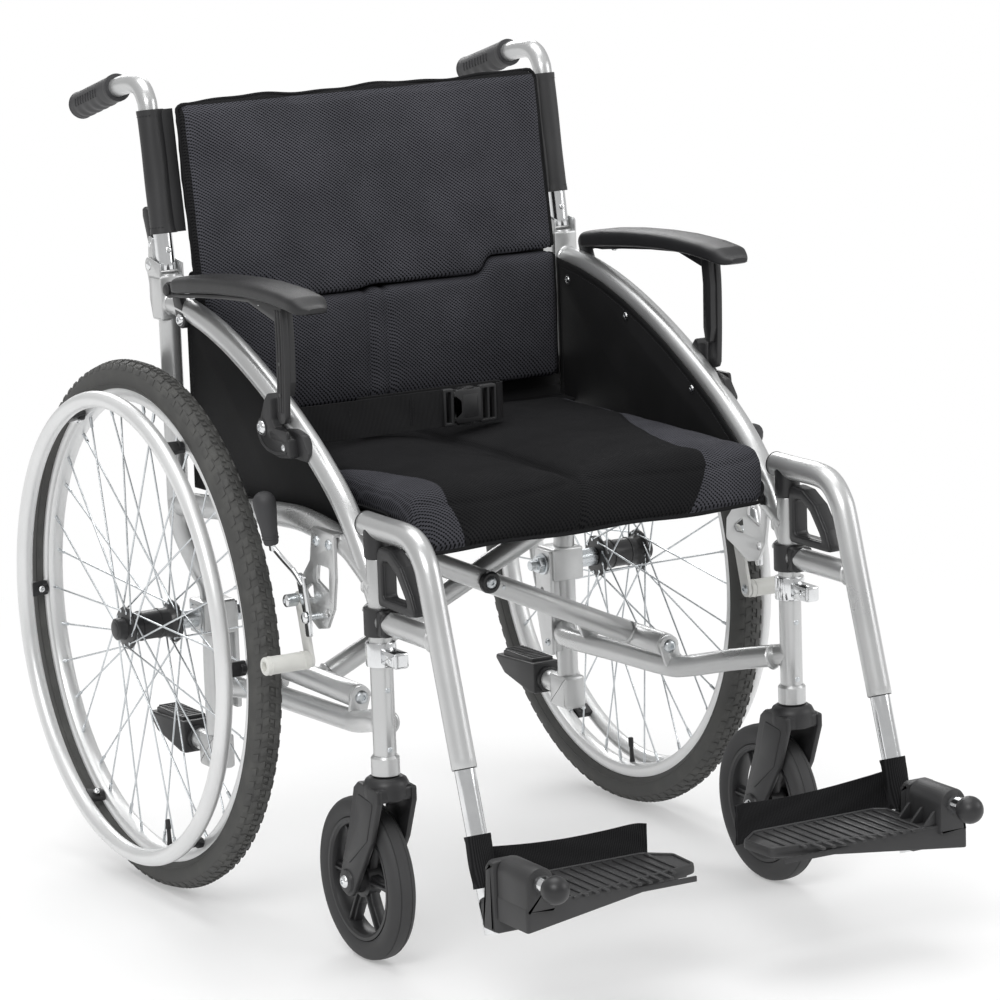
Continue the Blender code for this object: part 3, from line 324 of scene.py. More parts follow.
class Piece:
    """Collects shells with their materials, and then becomes one object that rides on a body."""

    def __init__(self, name):
        self.name, self.verts, self.faces, self.marks, self.looks = name, [], [], [], []
        self.count = 0

    def add(self, made, look):
        verts, faces = made
        if look not in self.looks:
            self.looks.append(look)
        mark = self.looks.index(look)
        self.verts.append(np.asarray(verts, float))
        self.faces += [tuple(int(i) + self.count for i in f) for f in faces]
        self.marks += [mark] * len(faces)
        self.count += len(verts)
        return self

    def mesh(self, sharp=32.0):
        mesh = bpy.data.meshes.new(self.name)
        points = np.concatenate(self.verts) + np.array((0.0, SHIFT, 0.0))
        mesh.from_pydata(points.tolist(), [], self.faces)
        for look in self.looks:
            mesh.materials.append(look)
        mesh.polygons.foreach_set("material_index", self.marks)
        tidy = bmesh.new()
        tidy.from_mesh(mesh)
        bmesh.ops.recalc_face_normals(tidy, faces=tidy.faces)
        tidy.to_mesh(mesh)
        tidy.free()
        mesh.shade_smooth()
        mesh.set_sharp_from_angle(angle=math.radians(sharp))
        return mesh

    def done(self, body, *nodes, slot=None, sharp=32.0):
        made = bpy.data.objects.new(self.name, self.mesh(sharp))
        bpy.context.scene.collection.objects.link(made)
        if body:
            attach(made, body)
        if nodes:
            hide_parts(*nodes)
        return made


def unit(v):
    v = np.asarray(v, float)
    return v / max(np.linalg.norm(v), 1e-12)


def smooth_path(points, steps=6):
    """Catmull-Rom curve through points."""
    p = np.asarray(points, float)
    if len(p) < 3:
        return p
    ends = np.vstack([2 * p[0] - p[1], p, 2 * p[-1] - p[-2]])
    out = []
    for i in range(1, len(ends) - 2):
        a, b, c, d = ends[i - 1:i + 3]
        for t in np.linspace(0, 1, steps, endpoint=False):
            out.append(0.5 * (2 * b + (c - a) * t + (2 * a - 5 * b + 4 * c - d) * t * t
                              + (3 * b - a - 3 * c + d) * t ** 3))
    out.append(p[-1])
    return np.array(out)


def frames(path, up=None):
    """Tangent and two normals at each point, carried along the path without twist."""
    tangents = np.gradient(path, axis=0)
    tangents /= np.linalg.norm(tangents, axis=1)[:, None]
    first = np.asarray(up, float) if up is not None else np.eye(3)[int(np.argmin(np.abs(tangents[0])))]
    normal = unit(first - tangents[0] * (first @ tangents[0]))
    out = []
    for t in tangents:
        normal = unit(normal - t * (normal @ t))
        out.append((t, normal, np.cross(t, normal)))
    return out


def circle(sides):
    a = np.arange(sides) * 2 * math.pi / sides
    return np.column_stack([np.cos(a), np.sin(a)])


def skin(rings, caps=True, loop=False):
    """Quads between equal rings of points, with an n-gon on each end."""
    n = len(rings[0])
    faces = []
    last = len(rings) if loop else len(rings) - 1
    for i in range(last):
        a, b = i * n, ((i + 1) % len(rings)) * n
        faces += [(a + k, a + (k + 1) % n, b + (k + 1) % n, b + k) for k in range(n)]
    if caps and not loop:
        faces += [tuple(range(n))[::-1], tuple(range((len(rings) - 1) * n, len(rings) * n))]
    return np.concatenate(rings), faces


def sweep(path, radius, sides=28, edge=0.0008, up=None, section=None, ball=(False, False)):
    """A bar along path. radius may be a number or one number per point; section replaces the circle."""
    path = np.asarray(path, float)
    radii = np.broadcast_to(np.asarray(radius, float), (len(path),)).astype(float)
    shape = circle(sides) if section is None else np.asarray(section, float)
    stations = [(p, f, r) for p, f, r in zip(path, frames(path, up), radii)]
    low, high = stations[0], stations[-1]

    def ends(station, sign, rounded):
        p, f, r = station
        if rounded:
            return [(p + sign * f[0] * r * math.sin(a), f, r * math.cos(a))
                    for a in np.radians((84, 68, 50, 32, 14))]
        e = min(edge, 0.4 * r)
        return [(p, f, r - e), (p - sign * f[0] * e * 0.3, f, r - e * 0.3), (p - sign * f[0] * e, f, r)]
    stations = ends(low, -1, ball[0]) + stations[0 if ball[0] else 1:len(stations) if ball[1] else -1] \
        + ends(high, 1, ball[1])[::-1]
    rings = [p + r * (shape[:, :1] * f[1] + shape[:, 1:] * f[2]) for p, f, r in stations]
    return skin(rings)


def rod(a, b, radius, sides=28, edge=0.0008, ball=(False, False)):
    a, b = np.asarray(a, float), np.asarray(b, float)
    return sweep(np.array([a, a + (b - a) * 0.3, a + (b - a) * 0.7, b]), radius, sides, edge, ball=ball)


def lathe(profile, centre, axis=(1, 0, 0), steps=48, loop=False, start=0.0):
    """(distance along the axis, radius) points turned about an axis."""
    axis = unit(axis)
    side = unit(np.cross(axis, (0, 0, 1) if abs(axis[2]) < 0.9 else (0, 1, 0)))
    up = np.cross(axis, side)
    a = start + np.arange(steps) * 2 * math.pi / steps
    rings = [np.asarray(centre) + axis * d + r * (np.cos(a)[:, None] * side + np.sin(a)[:, None] * up)
             for d, r in profile]
    return skin(rings, caps=not loop, loop=loop)


def fillet(points, radius, steps=4):
    """A closed 2-D outline with its corners rounded."""
    p = [np.asarray(q, float) for q in points]
    radii = np.broadcast_to(np.asarray(radius, float), (len(p),))
    out = []
    for i, b in enumerate(p):
        a, c, r = p[i - 1], p[(i + 1) % len(p)], radii[i]
        if r <= 0:
            out.append(b)
            continue
        back, on = unit(a - b), unit(c - b)
        angle = math.acos(float(np.clip(back @ on, -1, 1)))
        reach = min(r / max(math.tan(angle / 2), 1e-3), 0.45 * np.linalg.norm(a - b),
                    0.45 * np.linalg.norm(c - b))
        for t in np.linspace(0, 1, steps + 1):
            out.append((1 - t) ** 2 * (b + back * reach) + 2 * t * (1 - t) * b + t * t * (b + on * reach))
    return np.array(out)


def grown(outline, by):
    """A closed outline moved outwards by a distance, or inwards where it is negative."""
    p = np.asarray(outline, float)
    area = np.sum(p[:, 0] * np.roll(p[:, 1], -1) - np.roll(p[:, 0], -1) * p[:, 1])
    before, after = p - np.roll(p, 1, 0), np.roll(p, -1, 0) - p
    before /= np.maximum(np.linalg.norm(before, axis=1), 1e-9)[:, None]
    after /= np.maximum(np.linalg.norm(after, axis=1), 1e-9)[:, None]
    normal = np.column_stack([before[:, 1] + after[:, 1], -before[:, 0] - after[:, 0]])
    length = np.maximum(np.linalg.norm(normal, axis=1), 0.6)[:, None]
    return p + normal / length * by * np.sign(area) * np.minimum(2 / length, 1.3)


def prism(outline, low, high, edge=0.0006, to=None):
    """A plate with softened edges. to maps (u, v, w) columns to places; by default (y, z) at x = w."""
    levels = [(low, -edge), (low + edge * 0.3, -edge * 0.3), (low + edge, 0.0),
              (high - edge, 0.0), (high - edge * 0.3, -edge * 0.3), (high, -edge)]
    rings = []
    for w, by in levels:
        flat = grown(outline, by)
        rings.append(np.column_stack([flat, np.full(len(flat), w)]))
    verts, faces = skin(rings)
    return (to or yz_x)(verts), faces


def yz_x(v):
    return v[:, (2, 0, 1)]


def xy_z(v):
    return v


def at_side(side, outline, x0, x1, edge=0.0006):
    """A plate in a fore-and-aft plane between two distances from the chair's middle."""
    low, high = sorted((side * x0, side * x1))
    return prism(outline, low, high, edge)


def pierced(outlines, low, high, edge=0.0006, to=None):
    """A plate with windows: the first outline is its edge and the others are its holes."""
    curve = bpy.data.curves.new("pierced", "CURVE")
    curve.dimensions, curve.fill_mode = "2D", "BOTH"
    curve.extrude, curve.bevel_depth, curve.bevel_resolution = (high - low) / 2 - edge, edge, 2
    curve.offset = -edge
    for outline in outlines:
        spline = curve.splines.new("POLY")
        spline.use_cyclic_u = True
        spline.points.add(len(outline) - 1)
        for point, (u, v) in zip(spline.points, outline):
            point.co = (u, v, 0.0, 1.0)
    holder = bpy.data.objects.new("pierced", curve)
    bpy.context.scene.collection.objects.link(holder)
    bpy.context.view_layer.update()
    mesh = bpy.data.meshes.new_from_object(holder.evaluated_get(bpy.context.evaluated_depsgraph_get()))
    bpy.data.objects.remove(holder)
    weld = bmesh.new()
    weld.from_mesh(mesh)
    bmesh.ops.remove_doubles(weld, verts=weld.verts, dist=2e-6)
    verts = np.array([v.co for v in weld.verts])
    verts[:, 2] += (low + high) / 2
    faces = [[v.index for v in f.verts] for f in weld.faces]
    weld.free()
    return (to or yz_x)(verts), faces


def block(low, high, edge=0.0012, side=1):
    """A box with rounded edges between two corners, mirrored to the given side."""
    (x0, y0, z0), (x1, y1, z1) = low, high
    x0, x1 = sorted((side * x0, side * x1))
    return prism(fillet([(y0, z0), (y1, z0), (y1, z1), (y0, z1)], edge, 3), x0, x1, edge)


def moved(made, matrix):
    """A copy of verts and faces, moved by a 4x4 matrix."""
    m = np.array(matrix, float)
    return made[0] @ m[:3, :3].T + m[:3, 3], made[1]


def joined(items):
    verts, faces, count = [], [], 0
    for v, f in items:
        verts.append(v)
        faces += [tuple(int(i) + count for i in face) for face in f]
        count += len(v)
    return np.concatenate(verts), faces


def cross(side, x0, x1, place, radius, sides=24, edge=0.0006):
    return rod((side * x0, *place), (side * x1, *place), radius, sides, edge)


def in_plane(side, x, places):
    return np.array([(side * x, y, z) for y, z in places])


def circle_at(place, radius, start=0.0, end=360.0, steps=24):
    full = abs(end - start) >= 359.9
    return [(place[0] + radius * math.cos(a), place[1] + radius * math.sin(a))
            for a in np.radians(np.linspace(start, end, steps + 1)[:steps if full else None])]


def screw_head(place, axis, radius, height, socket=True):
    """A domed screw head on a washer face, with a hexagon socket sunk in it."""
    r, h, hexagon = radius, height, 0.42 * radius
    profile = [(0.0, r, 0), (h * 0.25, r, 0), (h * 0.62, r * 0.88, 0), (h * 0.88, r * 0.68, 0)]
    if socket:
        profile += [(h, hexagon * 1.18, 0), (h * 0.97, hexagon, 1), (h * 0.4, hexagon * 0.97, 1)]
    else:
        profile += [(h * 0.98, r * 0.35, 0), (h, r * 0.08, 0)]
    axis = unit(axis)
    side = unit(np.cross(axis, (0.3, 0.2, 1.0)))
    up = np.cross(axis, side)
    a = np.arange(24) * math.pi / 12
    flat = math.cos(math.pi / 6) / np.cos(a % (math.pi / 3) - math.pi / 6)
    rings = [np.asarray(place) + axis * d + (np.cos(a)[:, None] * side + np.sin(a)[:, None] * up)
             * (w * (flat if six else np.ones(24)))[:, None] for d, w, six in profile]
    return skin(rings)


def hex_nut(place, axis, radius, height):
    body = lathe([(0.0, radius * 0.96), (height * 0.12, radius), (height * 0.85, radius),
                  (height, radius * 0.9)], place, axis, 6)
    tip = lathe([(height * 0.9, radius * 0.55), (height * 1.25, radius * 0.55), (height * 1.35,
                                                                                 radius * 0.45)], place,
                axis, 20)
    return joined([body, tip])


# ---------------------------------------------------------------- side frames

TUBE, ARM_R, SEAT_R = 0.0125, 0.0127, 0.0135
ARM_PATH = [(0.021, 0.67), (-0.02, 0.6685), (-0.05, 0.664), (-0.095, 0.6535), (-0.143, 0.638),
            (-0.19, 0.619), (-0.235, 0.598), (-0.285, 0.571), (-0.333, 0.5415), (-0.378, 0.508),
            (-0.409, 0.477), (-0.434, 0.444), (POST_Y, 0.405)]
SEAT_PATH = [(0.021, 0.437), (-0.066, 0.445), (-0.237, 0.464), (-0.312, 0.466), (-0.389, 0.456),
             (-0.425, 0.441), (POST_Y, 0.421)]
BACK = (joint_at("back_fold_left").y - SHIFT, joint_at("back_fold_left").z)
ARM = (joint_at("armrest_flip_left").y - SHIFT, joint_at("armrest_flip_left").z)
ARM_BOLT = (-0.034, 0.657)
LOW_X, RAIL_X = 0.236, 0.208
POST_TOP = 0.452


def weld_bead(place, axis, radius, thick=0.0022):
    """The rounded bead of a weld round a tube's end."""
    return lathe([(-thick, radius + 0.0002), (-thick * 0.6, radius + thick * 0.7), (0.0, radius + thick),
                  (thick * 0.6, radius + thick * 0.7), (thick, radius + 0.0002)], place, axis, 36)


def side_frame(side):
    piece = Piece(named("side_frame_welded", side))
    x = side * FRAME_X
    tubes = [
        rod((x, POST_Y, 0.2157), (x, POST_Y, POST_TOP), TUBE, 36),
        lathe([(-0.0005, TUBE + 0.0015), (0.0008, TUBE + 0.003), (0.019, TUBE + 0.003),
               (0.0215, TUBE + 0.0012), (0.0216, TUBE - 0.002)], (x, POST_Y, 0.216), (0, 0, 1), 40),
        sweep(smooth_path(in_plane(side, FRAME_X, ARM_PATH), 5), ARM_R, 36),
        sweep(smooth_path(in_plane(side, FRAME_X, SEAT_PATH), 6), SEAT_R, 36),
        sweep(smooth_path([(x, 0.021, 0.703), (x, 0.021, 0.6), (x, 0.021, 0.5), (x, 0.021, 0.43),
                           (side * 0.256, 0.017, 0.4), (side * 0.245, 0.005, 0.362),
                           (side * LOW_X, -0.004, 0.33), (side * LOW_X, -0.004, 0.24),
                           (side * LOW_X, -0.004, 0.14)], 6), TUBE, 36),
        sweep(smooth_path([(side * LOW_X, 0.0, 0.223), (side * 0.215, -0.035, 0.223),
                           (side * RAIL_X, -0.065, 0.2245), (side * RAIL_X, -0.16, 0.2285),
                           (side * RAIL_X, -0.27, 0.2325), (side * 0.212, -0.31, 0.237),
                           (side * 0.232, -0.385, 0.256), (x, POST_Y, 0.272)], 6), TUBE, 36),
        rod((side * LOW_X, 0.01, 0.15), (side * LOW_X, 0.072, 0.152), TUBE, 32),
    ]
    for made in tubes:
        piece.add(made, SILVER)
    beads = [weld_bead((x, POST_Y + 0.01, 0.398), (0, 0.62, 0.78), ARM_R - 0.0006),
             weld_bead((x, POST_Y + 0.0115, 0.4225), (0, 0.85, 0.5), SEAT_R - 0.0008),
             weld_bead((x, 0.008, 0.4385), (0, 1, -0.1), SEAT_R - 0.0002),
             weld_bead((x, 0.0075, 0.6697), (0, 1, 0.04), ARM_R - 0.0002),
             weld_bead((side * 0.2465, POST_Y + 0.018, 0.267), (-side * 0.35, 0.9, -0.2), TUBE - 0.0004),
             weld_bead((side * (LOW_X - 0.006), -0.012, 0.223), (-side * 0.55, -0.8, 0), TUBE - 0.0004)]
    for made in beads:
        piece.add(made, SILVER)
    axle_holder(piece, side)
    for y in (-0.291 - 0.0059, -0.112 + 0.0004):
        outline = fillet([(PIVOT.x - 0.004, 0.236), (RAIL_X + 0.009, 0.236), (PIVOT.x + 0.0118, PIVOT.z),
                          *[(PIVOT.x + 0.0125 * math.cos(a), PIVOT.z + 0.0125 * math.sin(a))
                            for a in np.linspace(0, math.pi, 9)], (PIVOT.x - 0.0118, PIVOT.z)], 0.002, 2)
        piece.add(prism([(side * u, v) for u, v in outline], y, y + 0.0055, 0.0005, xz_y), SILVER)
        outward = -1 if y < -0.2 else 1
        end = y if y < -0.2 else y + 0.0055
        piece.add(screw_head((side * PIVOT.x, end, PIVOT.z), (0, outward, 0), 0.0078, 0.0045), ZINC)
    hinge(piece, side)
    piece.add(lathe([(0, 0.0128), (0.0006, 0.0162), (0.0022, 0.0166), (0.0245, 0.0166), (0.0262, 0.016),
                     (0.0266, 0.0128)], (x, POST_Y, 0.3354), (0, 0, 1), 40), CHROME)
    piece.add(block((FRAME_X - 0.0088, -0.506, 0.3395), (FRAME_X + 0.0088, -0.472, 0.357), 0.003, side),
              CHROME)
    piece.add(screw_head((side * (FRAME_X + 0.0088), -0.495, 0.3482), (side, 0, 0), 0.0042, 0.0016), CHROME)
    piece.add(screw_head((side * (FRAME_X - 0.0088), -0.495, 0.3482), (-side, 0, 0), 0.0042, 0.0016), CHROME)
    for z in (0.31, 0.245):
        piece.add(screw_head((x, POST_Y - TUBE + 0.0006, z), (0, -1, 0), 0.0032, 0.0012, False), ZINC)
    piece.done(named("frame", side), named("side_frame", side), slot="silver_paint")
    arm_ear(side)


def xz_y(v):
    return v[:, (0, 2, 1)]


def axle_holder(piece, side):
    """Axle block with its clamp plate, the spine down to the tipping lever and the tipping stub's block."""
    piece.add(block((0.212, -0.02, 0.285), (0.2535, 0.02, 0.325), 0.003, side), SILVER)
    plate = fillet([(-0.016, 0.195), (0.006, 0.195), (0.018, 0.24), (0.018, 0.322), (-0.016, 0.322)], 0.004,
                   4)
    holes = [circle_at((0.004, z), 0.0042, steps=20) for z in (0.252, 0.272)]
    low, high = sorted((side * 0.2085, side * 0.2135))
    piece.add(pierced([plate, *holes], low, high, 0.0005), SILVER)
    piece.add(block((0.2125, -0.01, 0.197), (0.232, 0.002, 0.29), 0.002, side), SILVER)
    piece.add(block((0.222, -0.022, 0.126), (0.25, 0.02, 0.167), 0.005, side), SILVER)
    piece.add(cross(side, 0.2535, 0.2546, (0.0, WHEEL_R), 0.015, 32), SILVER)
    for y, z in ((-0.012, 0.292), (0.012, 0.292), (-0.012, 0.318), (0.012, 0.318)):
        piece.add(screw_head((side * 0.2535, y, z), (side, 0, 0), 0.003, 0.0012, False), ZINC)
    for place in ((-0.006, 0.21), (0.004, 0.308)):
        piece.add(screw_head((side * 0.2085, *place), (-side, 0, 0), 0.0045, 0.0028), ZINC)


def hinge(piece, side):
    """Channel bracket on top of the rear post that carries the folding cane."""
    piece.add(at_side(side, fillet([(0.0085, 0.65), (0.0335, 0.65), (0.04, 0.672), (0.04, 0.7),
                                    (0.036, 0.7015), (0.0085, 0.7015)], 0.003, 4),
                      FRAME_X - 0.0157, FRAME_X + 0.0157, 0.003), SILVER)
    cheek = fillet([(0.01, 0.695), (0.039, 0.69), *circle_at(BACK, 0.0095, -60, 120, 14),
                    (0.01, 0.715)], 0.001, 2)
    for inner, outer in ((-0.0151, -0.0128), (0.0128, 0.0151)):
        piece.add(at_side(side, cheek, FRAME_X + inner, FRAME_X + outer, 0.0004), SILVER)
    for sign in (-1, 1):
        piece.add(screw_head((side * (FRAME_X + sign * 0.015), *BACK), (side * sign, 0, 0), 0.0052, 0.0022,
                             False), CHROME)
    piece.add(cross(side, FRAME_X - 0.015, FRAME_X + 0.015, BACK, 0.0034), CHROME)


def arm_ear(side):
    """Black ear that carries the armrest's hinge, with the bolt below it."""
    piece = Piece(named("armrest_ear", side))
    outline = np.array(circle_at(ARM_BOLT, 0.01, 157, 337, 14) + circle_at(ARM, 0.0092, -23, 157, 14))
    piece.add(at_side(side, outline, 0.264, 0.2721, 0.001), BLACK)
    piece.add(screw_head((side * 0.272, *ARM_BOLT), (side, 0, 0), 0.0072, 0.0042), CHROME)
    piece.add(cross(side, 0.271, 0.2815, ARM, 0.004), CHROME)
    piece.add(screw_head((side * 0.281, *ARM), (side, 0, 0), 0.007, 0.003, False), BLACK)
    piece.done(named("frame", side), slot="black_plastic")


def skirt_guard(side):
    """Clothes guard: a padded sheet with a folded hem, stitches and chrome screws."""
    piece = Piece(named("skirt_guard_sewn", side))
    outline = [(0.006, 0.455), (0.006, 0.672), *ARM_PATH[1:-2], (-0.436, 0.44), (-0.395, 0.452),
               (-0.312, 0.4635), (-0.2, 0.461)]
    dense = np.array([np.array(a) + (np.array(b) - a) * t for a, b in zip(outline, outline[1:] + outline[:1])
                      for t in np.linspace(0, 1, 8, endpoint=False)])
    piece.add(at_side(side, dense, 0.2435, 0.2455, 0.0008), GUARD)
    hem = grown(dense, -0.004)
    path = in_plane(side, 0.2445, np.vstack([hem, hem[:2]]))
    flat = np.array([(0.004 * math.cos(a), 0.0017 * math.sin(a)) for a in np.arange(12) * math.pi / 6])
    rings = []
    for p, f in zip(path[:-1], frames(path)[:-1]):
        across = unit(np.cross(f[0], (1, 0, 0)))
        rings.append(p + flat[:, :1] * across + flat[:, 1:] * np.array((1.0, 0, 0)))
    piece.add(skin(rings, loop=True), GUARD)
    for place in ((-0.02, 0.648), (-0.15, 0.62), (-0.29, 0.553)):
        piece.add(lathe([(0, 0.0062), (0.0006, 0.0062), (0.0008, 0.005)], (side * 0.2437, *place),
                        (-side, 0, 0), 28), BLACK)
        piece.add(screw_head((side * 0.2431, *place), (-side, 0, 0), 0.0042, 0.002), CHROME)
        piece.add(screw_head((side * 0.2453, *place), (side, 0, 0), 0.004, 0.0015, False), CHROME)
    inner = grown(dense, -0.0095)
    piece.add(stitches(in_plane(side, 0.2434, np.vstack([inner, inner[:1]])), 0.0045, 0.0028, 0.00038),
              THREAD)
    piece.add(stitches(in_plane(side, 0.2456, np.vstack([inner, inner[:1]])), 0.0045, 0.0028, 0.00038),
              THREAD)
    piece.done(named("frame", side), named("skirt_guard", side), slot="black_nylon")


def stitches(path, pitch, length, radius):
    """A row of short thread loops along a path."""
    path = np.asarray(path, float)
    steps = np.linalg.norm(np.diff(path, axis=0), axis=1)
    travelled = np.concatenate([[0], np.cumsum(steps)])
    items = []
    for s in np.arange(pitch / 2, travelled[-1] - length, pitch):
        a, b = (np.array([np.interp(t, travelled, path[:, k]) for k in range(3)]) for t in (s, s + length))
        items.append(sweep(np.array([a, (a + b) / 2, b]), [radius * 0.7, radius, radius * 0.7], 6, 0.0001))
    return joined(items)


def tipping_pad(side):
    piece = Piece(named("tipping_pad_ribbed", side))
    outline = fillet([(0.046, 0.134), (0.06, 0.1335), (0.12, 0.147), (0.14, 0.163), (0.138, 0.168),
                      (0.046, 0.172)], 0.003, 4)
    piece.add(at_side(side, outline, LOW_X - 0.0185, LOW_X + 0.0185, 0.0022), BLACK)
    top = fillet([(0.056, 0.16), (0.126, 0.16), (0.126, 0.1735), (0.122, 0.1755), (0.056, 0.1755)], 0.0015, 3)
    piece.add(at_side(side, top, LOW_X - 0.015, LOW_X + 0.015, 0.0012), BLACK)
    for y in np.arange(0.062, 0.124, 0.0075):
        piece.add(block((LOW_X - 0.0125, y, 0.1745), (LOW_X + 0.0125, y + 0.003, 0.1764), 0.0005, side),
                  BLACK)
    piece.add(lathe([(0.0, 0.0136), (0.001, 0.0152), (0.006, 0.0156), (0.0062, 0.014)],
                    (side * LOW_X, 0.04, 0.151), (0, 1, 0), 32), BLACK)
    piece.done(named("frame", side), named("tipping_pad", side), slot="black_plastic")


def axle_bolt(side):
    piece = Piece(named("axle_hardware", side))
    middle = (0.0, WHEEL_R)
    piece.add(cross(side, 0.19, 0.3515, middle, 0.006, 32), ZINC)
    for k in range(5):
        piece.add(lathe([(0, 0.0059), (0.0003, 0.0063), (0.0006, 0.0059)],
                        (side * (0.1915 + k * 0.0012), *middle), (side, 0, 0), 28), ZINC)
    piece.add(lathe([(0, 0.0102), (0.0006, 0.011), (0.0254, 0.011), (0.026, 0.0102)],
                    (side * 0.2539, *middle), (side, 0, 0), 36), ZINC)
    piece.add(lathe([(0, 0.006), (0.0001, 0.0128), (0.0018, 0.013), (0.0021, 0.0124), (0.0022, 0.006)],
                    (side * 0.2082, *middle), (-side, 0, 0), 36), ZINC)
    piece.add(lathe([(0, 0.0102), (0.0008, 0.0108), (0.0066, 0.0108), (0.0074, 0.01), (0.0074, 0.0062)],
                    (side * 0.206, *middle), (-side, 0, 0), 6), ZINC)
    piece.add(lathe([(0, 0.0066), (0.0002, 0.0096), (0.0046, 0.01), (0.006, 0.0086), (0.0064, 0.001)],
                    (side * 0.3456, *middle), (side, 0, 0), 36), BLACK)
    piece.done(named("frame", side), named("axle_bolt", side), slot="zinc")


# ---------------------------------------------------------------- rear wheels

RIM_IN, SPOKES = 0.257, 36
HUB_IN, HUB_OUT, HUB_R, FLANGE = 0.2805, 0.3455, 0.0165, 0.0245


def wheel_point(side, x, radius, angle):
    return np.array((side * x, radius * math.cos(angle), WHEEL_R + radius * math.sin(angle)))


def rear_wheel(side):
    piece = Piece(named("rear_wheel_laced", side))
    middle = (side * WHEEL_X, 0.0, WHEEL_R)
    rim = [(-0.0108, 0.2715), (-0.0104, 0.2728), (-0.0092, 0.2728), (-0.0085, 0.27), (-0.004, 0.2665),
           (0.004, 0.2665), (0.0085, 0.27), (0.0092, 0.2728), (0.0104, 0.2728), (0.0108, 0.2715),
           (0.011, 0.267), (0.0107, 0.2625), (0.0088, 0.2594), (0.005, 0.2574), (0.0, 0.2569),
           (-0.005, 0.2574), (-0.0088, 0.2594), (-0.0107, 0.2625), (-0.011, 0.267)]
    piece.add(lathe(rim, middle, (1, 0, 0), 144, loop=True), RIM_SILVER)
    hub = [(0.0, 0.0068), (0.0003, 0.02), (0.0008, FLANGE - 0.0012), (0.0024, FLANGE), (0.004, FLANGE),
           (0.0056, FLANGE - 0.0012), (0.0062, 0.0205), (0.0105, HUB_R + 0.0006), (0.013, HUB_R),
           (0.052, HUB_R), (0.0545, HUB_R + 0.0006), (0.0588, 0.0205), (0.0594, FLANGE - 0.0012),
           (0.061, FLANGE), (0.0626, FLANGE), (0.0642, FLANGE - 0.0012), (0.065, 0.018),
           (0.0662, 0.0135), (0.075, 0.0125), (0.0765, 0.0105), (0.077, 0.003)]
    piece.add(lathe(hub, (side * HUB_IN, 0.0, WHEEL_R), (side, 0, 0), 56), SATIN)
    for x in (HUB_IN + 0.0205, HUB_IN + 0.044):
        piece.add(lathe([(0, HUB_R - 0.0004), (0.0006, HUB_R + 0.0009), (0.0026, HUB_R + 0.0009),
                         (0.0032, HUB_R - 0.0004)], (side * x, 0, WHEEL_R), (side, 0, 0), 56), SATIN)
    piece.add(lathe([(0, 0.0082), (0.0004, 0.0092), (0.0012, 0.0092), (0.0016, 0.0084), (0.0017, 0.002)],
                    (side * (HUB_OUT + 0.0107), 0, WHEEL_R), (side, 0, 0), 32), BLACK)
    for index in range(SPOKES):
        turn = 2 * math.pi * index / SPOKES
        outer = index % 2 == 0
        lead = 1 if index % 4 < 2 else -1
        flange = HUB_OUT - 0.0032 if outer else HUB_IN + 0.0032
        start = wheel_point(side, flange + 0.0024 * lead, FLANGE - 0.0042, turn + lead * math.radians(72))
        end = wheel_point(side, WHEEL_X + (0.003 if outer else -0.003), RIM_IN + 0.003, turn)
        piece.add(rod(start, end, 0.00105, 10, 0.0002), SPOKE)
        way = unit(start - end)
        piece.add(rod(end, end + way * 0.015, 0.0019, 10, 0.0004), SPOKE)
        head = start + np.array((side * lead * 0.0006, 0, 0))
        piece.add(rod(head, head - np.array((side * lead * 0.004, 0, 0)), 0.0011, 8, 0.0002), SPOKE)
        piece.add(rod(head + np.array((side * lead * 0.0008, 0, 0)), head, 0.0021, 10, 0.0003), SPOKE)
    valve = wheel_point(side, WHEEL_X, RIM_IN + 0.002, math.radians(-95))
    inward = unit(np.array(middle) - valve)
    piece.add(lathe([(0, 0.0034), (0.004, 0.0032), (0.01, 0.0026), (0.02, 0.0024), (0.021, 0.0032),
                     (0.031, 0.0032), (0.032, 0.0022)], valve, inward, 20), BLACK)
    piece.done(named("wheel", side), named("rear_wheel", side), slot="silver_paint", sharp=28)


def rear_tyre(side):
    """Tyre: a rounded carcass, side ribs and rows of hooked tread blocks with grooves between them."""
    piece = Piece(named("rear_tyre_treaded", side))
    profile = [(-0.0088, 0.2734), (-0.0112, 0.2729), (-0.015, 0.2762), (-0.017, 0.281), (-0.0174, 0.2868),
               (-0.0166, 0.2922), (-0.0148, 0.2962), (-0.0118, 0.2995), (-0.008, 0.3015), (-0.004, 0.3024),
               (0.0, 0.3027), (0.004, 0.3024), (0.008, 0.3015), (0.0118, 0.2995), (0.0148, 0.2962),
               (0.0166, 0.2922), (0.0174, 0.2868), (0.017, 0.281), (0.015, 0.2762), (0.0112, 0.2729),
               (0.0088, 0.2734)]
    middle = (side * WHEEL_X, 0.0, WHEEL_R)
    piece.add(lathe(profile, middle, (1, 0, 0), 160, loop=True), RUBBER)
    for d, r in ((-0.016, 0.2795), (0.016, 0.2795)):
        ring = [(d + 0.0011 * math.cos(a), r + 0.0009 * math.sin(a)) for a in np.arange(8) * math.pi / 4]
        piece.add(lathe(ring, middle, (1, 0, 0), 160, loop=True), RUBBER)
    outer_edge = [(0.003, 0.303), (0.008, 0.3018), (0.0106, 0.3006), (0.013, 0.2985), (0.0157, 0.2951)]
    count = 104
    step = 2 * math.pi / count
    shells = []
    for sign in (-1, 1):
        for lane, (first, last) in enumerate(((0, 2), (2, 4))):
            for k in range(count):
                turn = step * (k + (0.5 if lane else 0.0) + (0.25 if sign > 0 else 0.0))
                shells.append(tread_block(outer_edge, first, last, sign, turn, step * 0.33, side))
    for k in range(count * 2):
        shells.append(centre_block(step / 2 * k, step * 0.17, side))
    piece.add(joined(shells), RUBBER)
    piece.done(named("wheel", side), named("rear_tyre", side), slot="tyre_rubber", sharp=40)


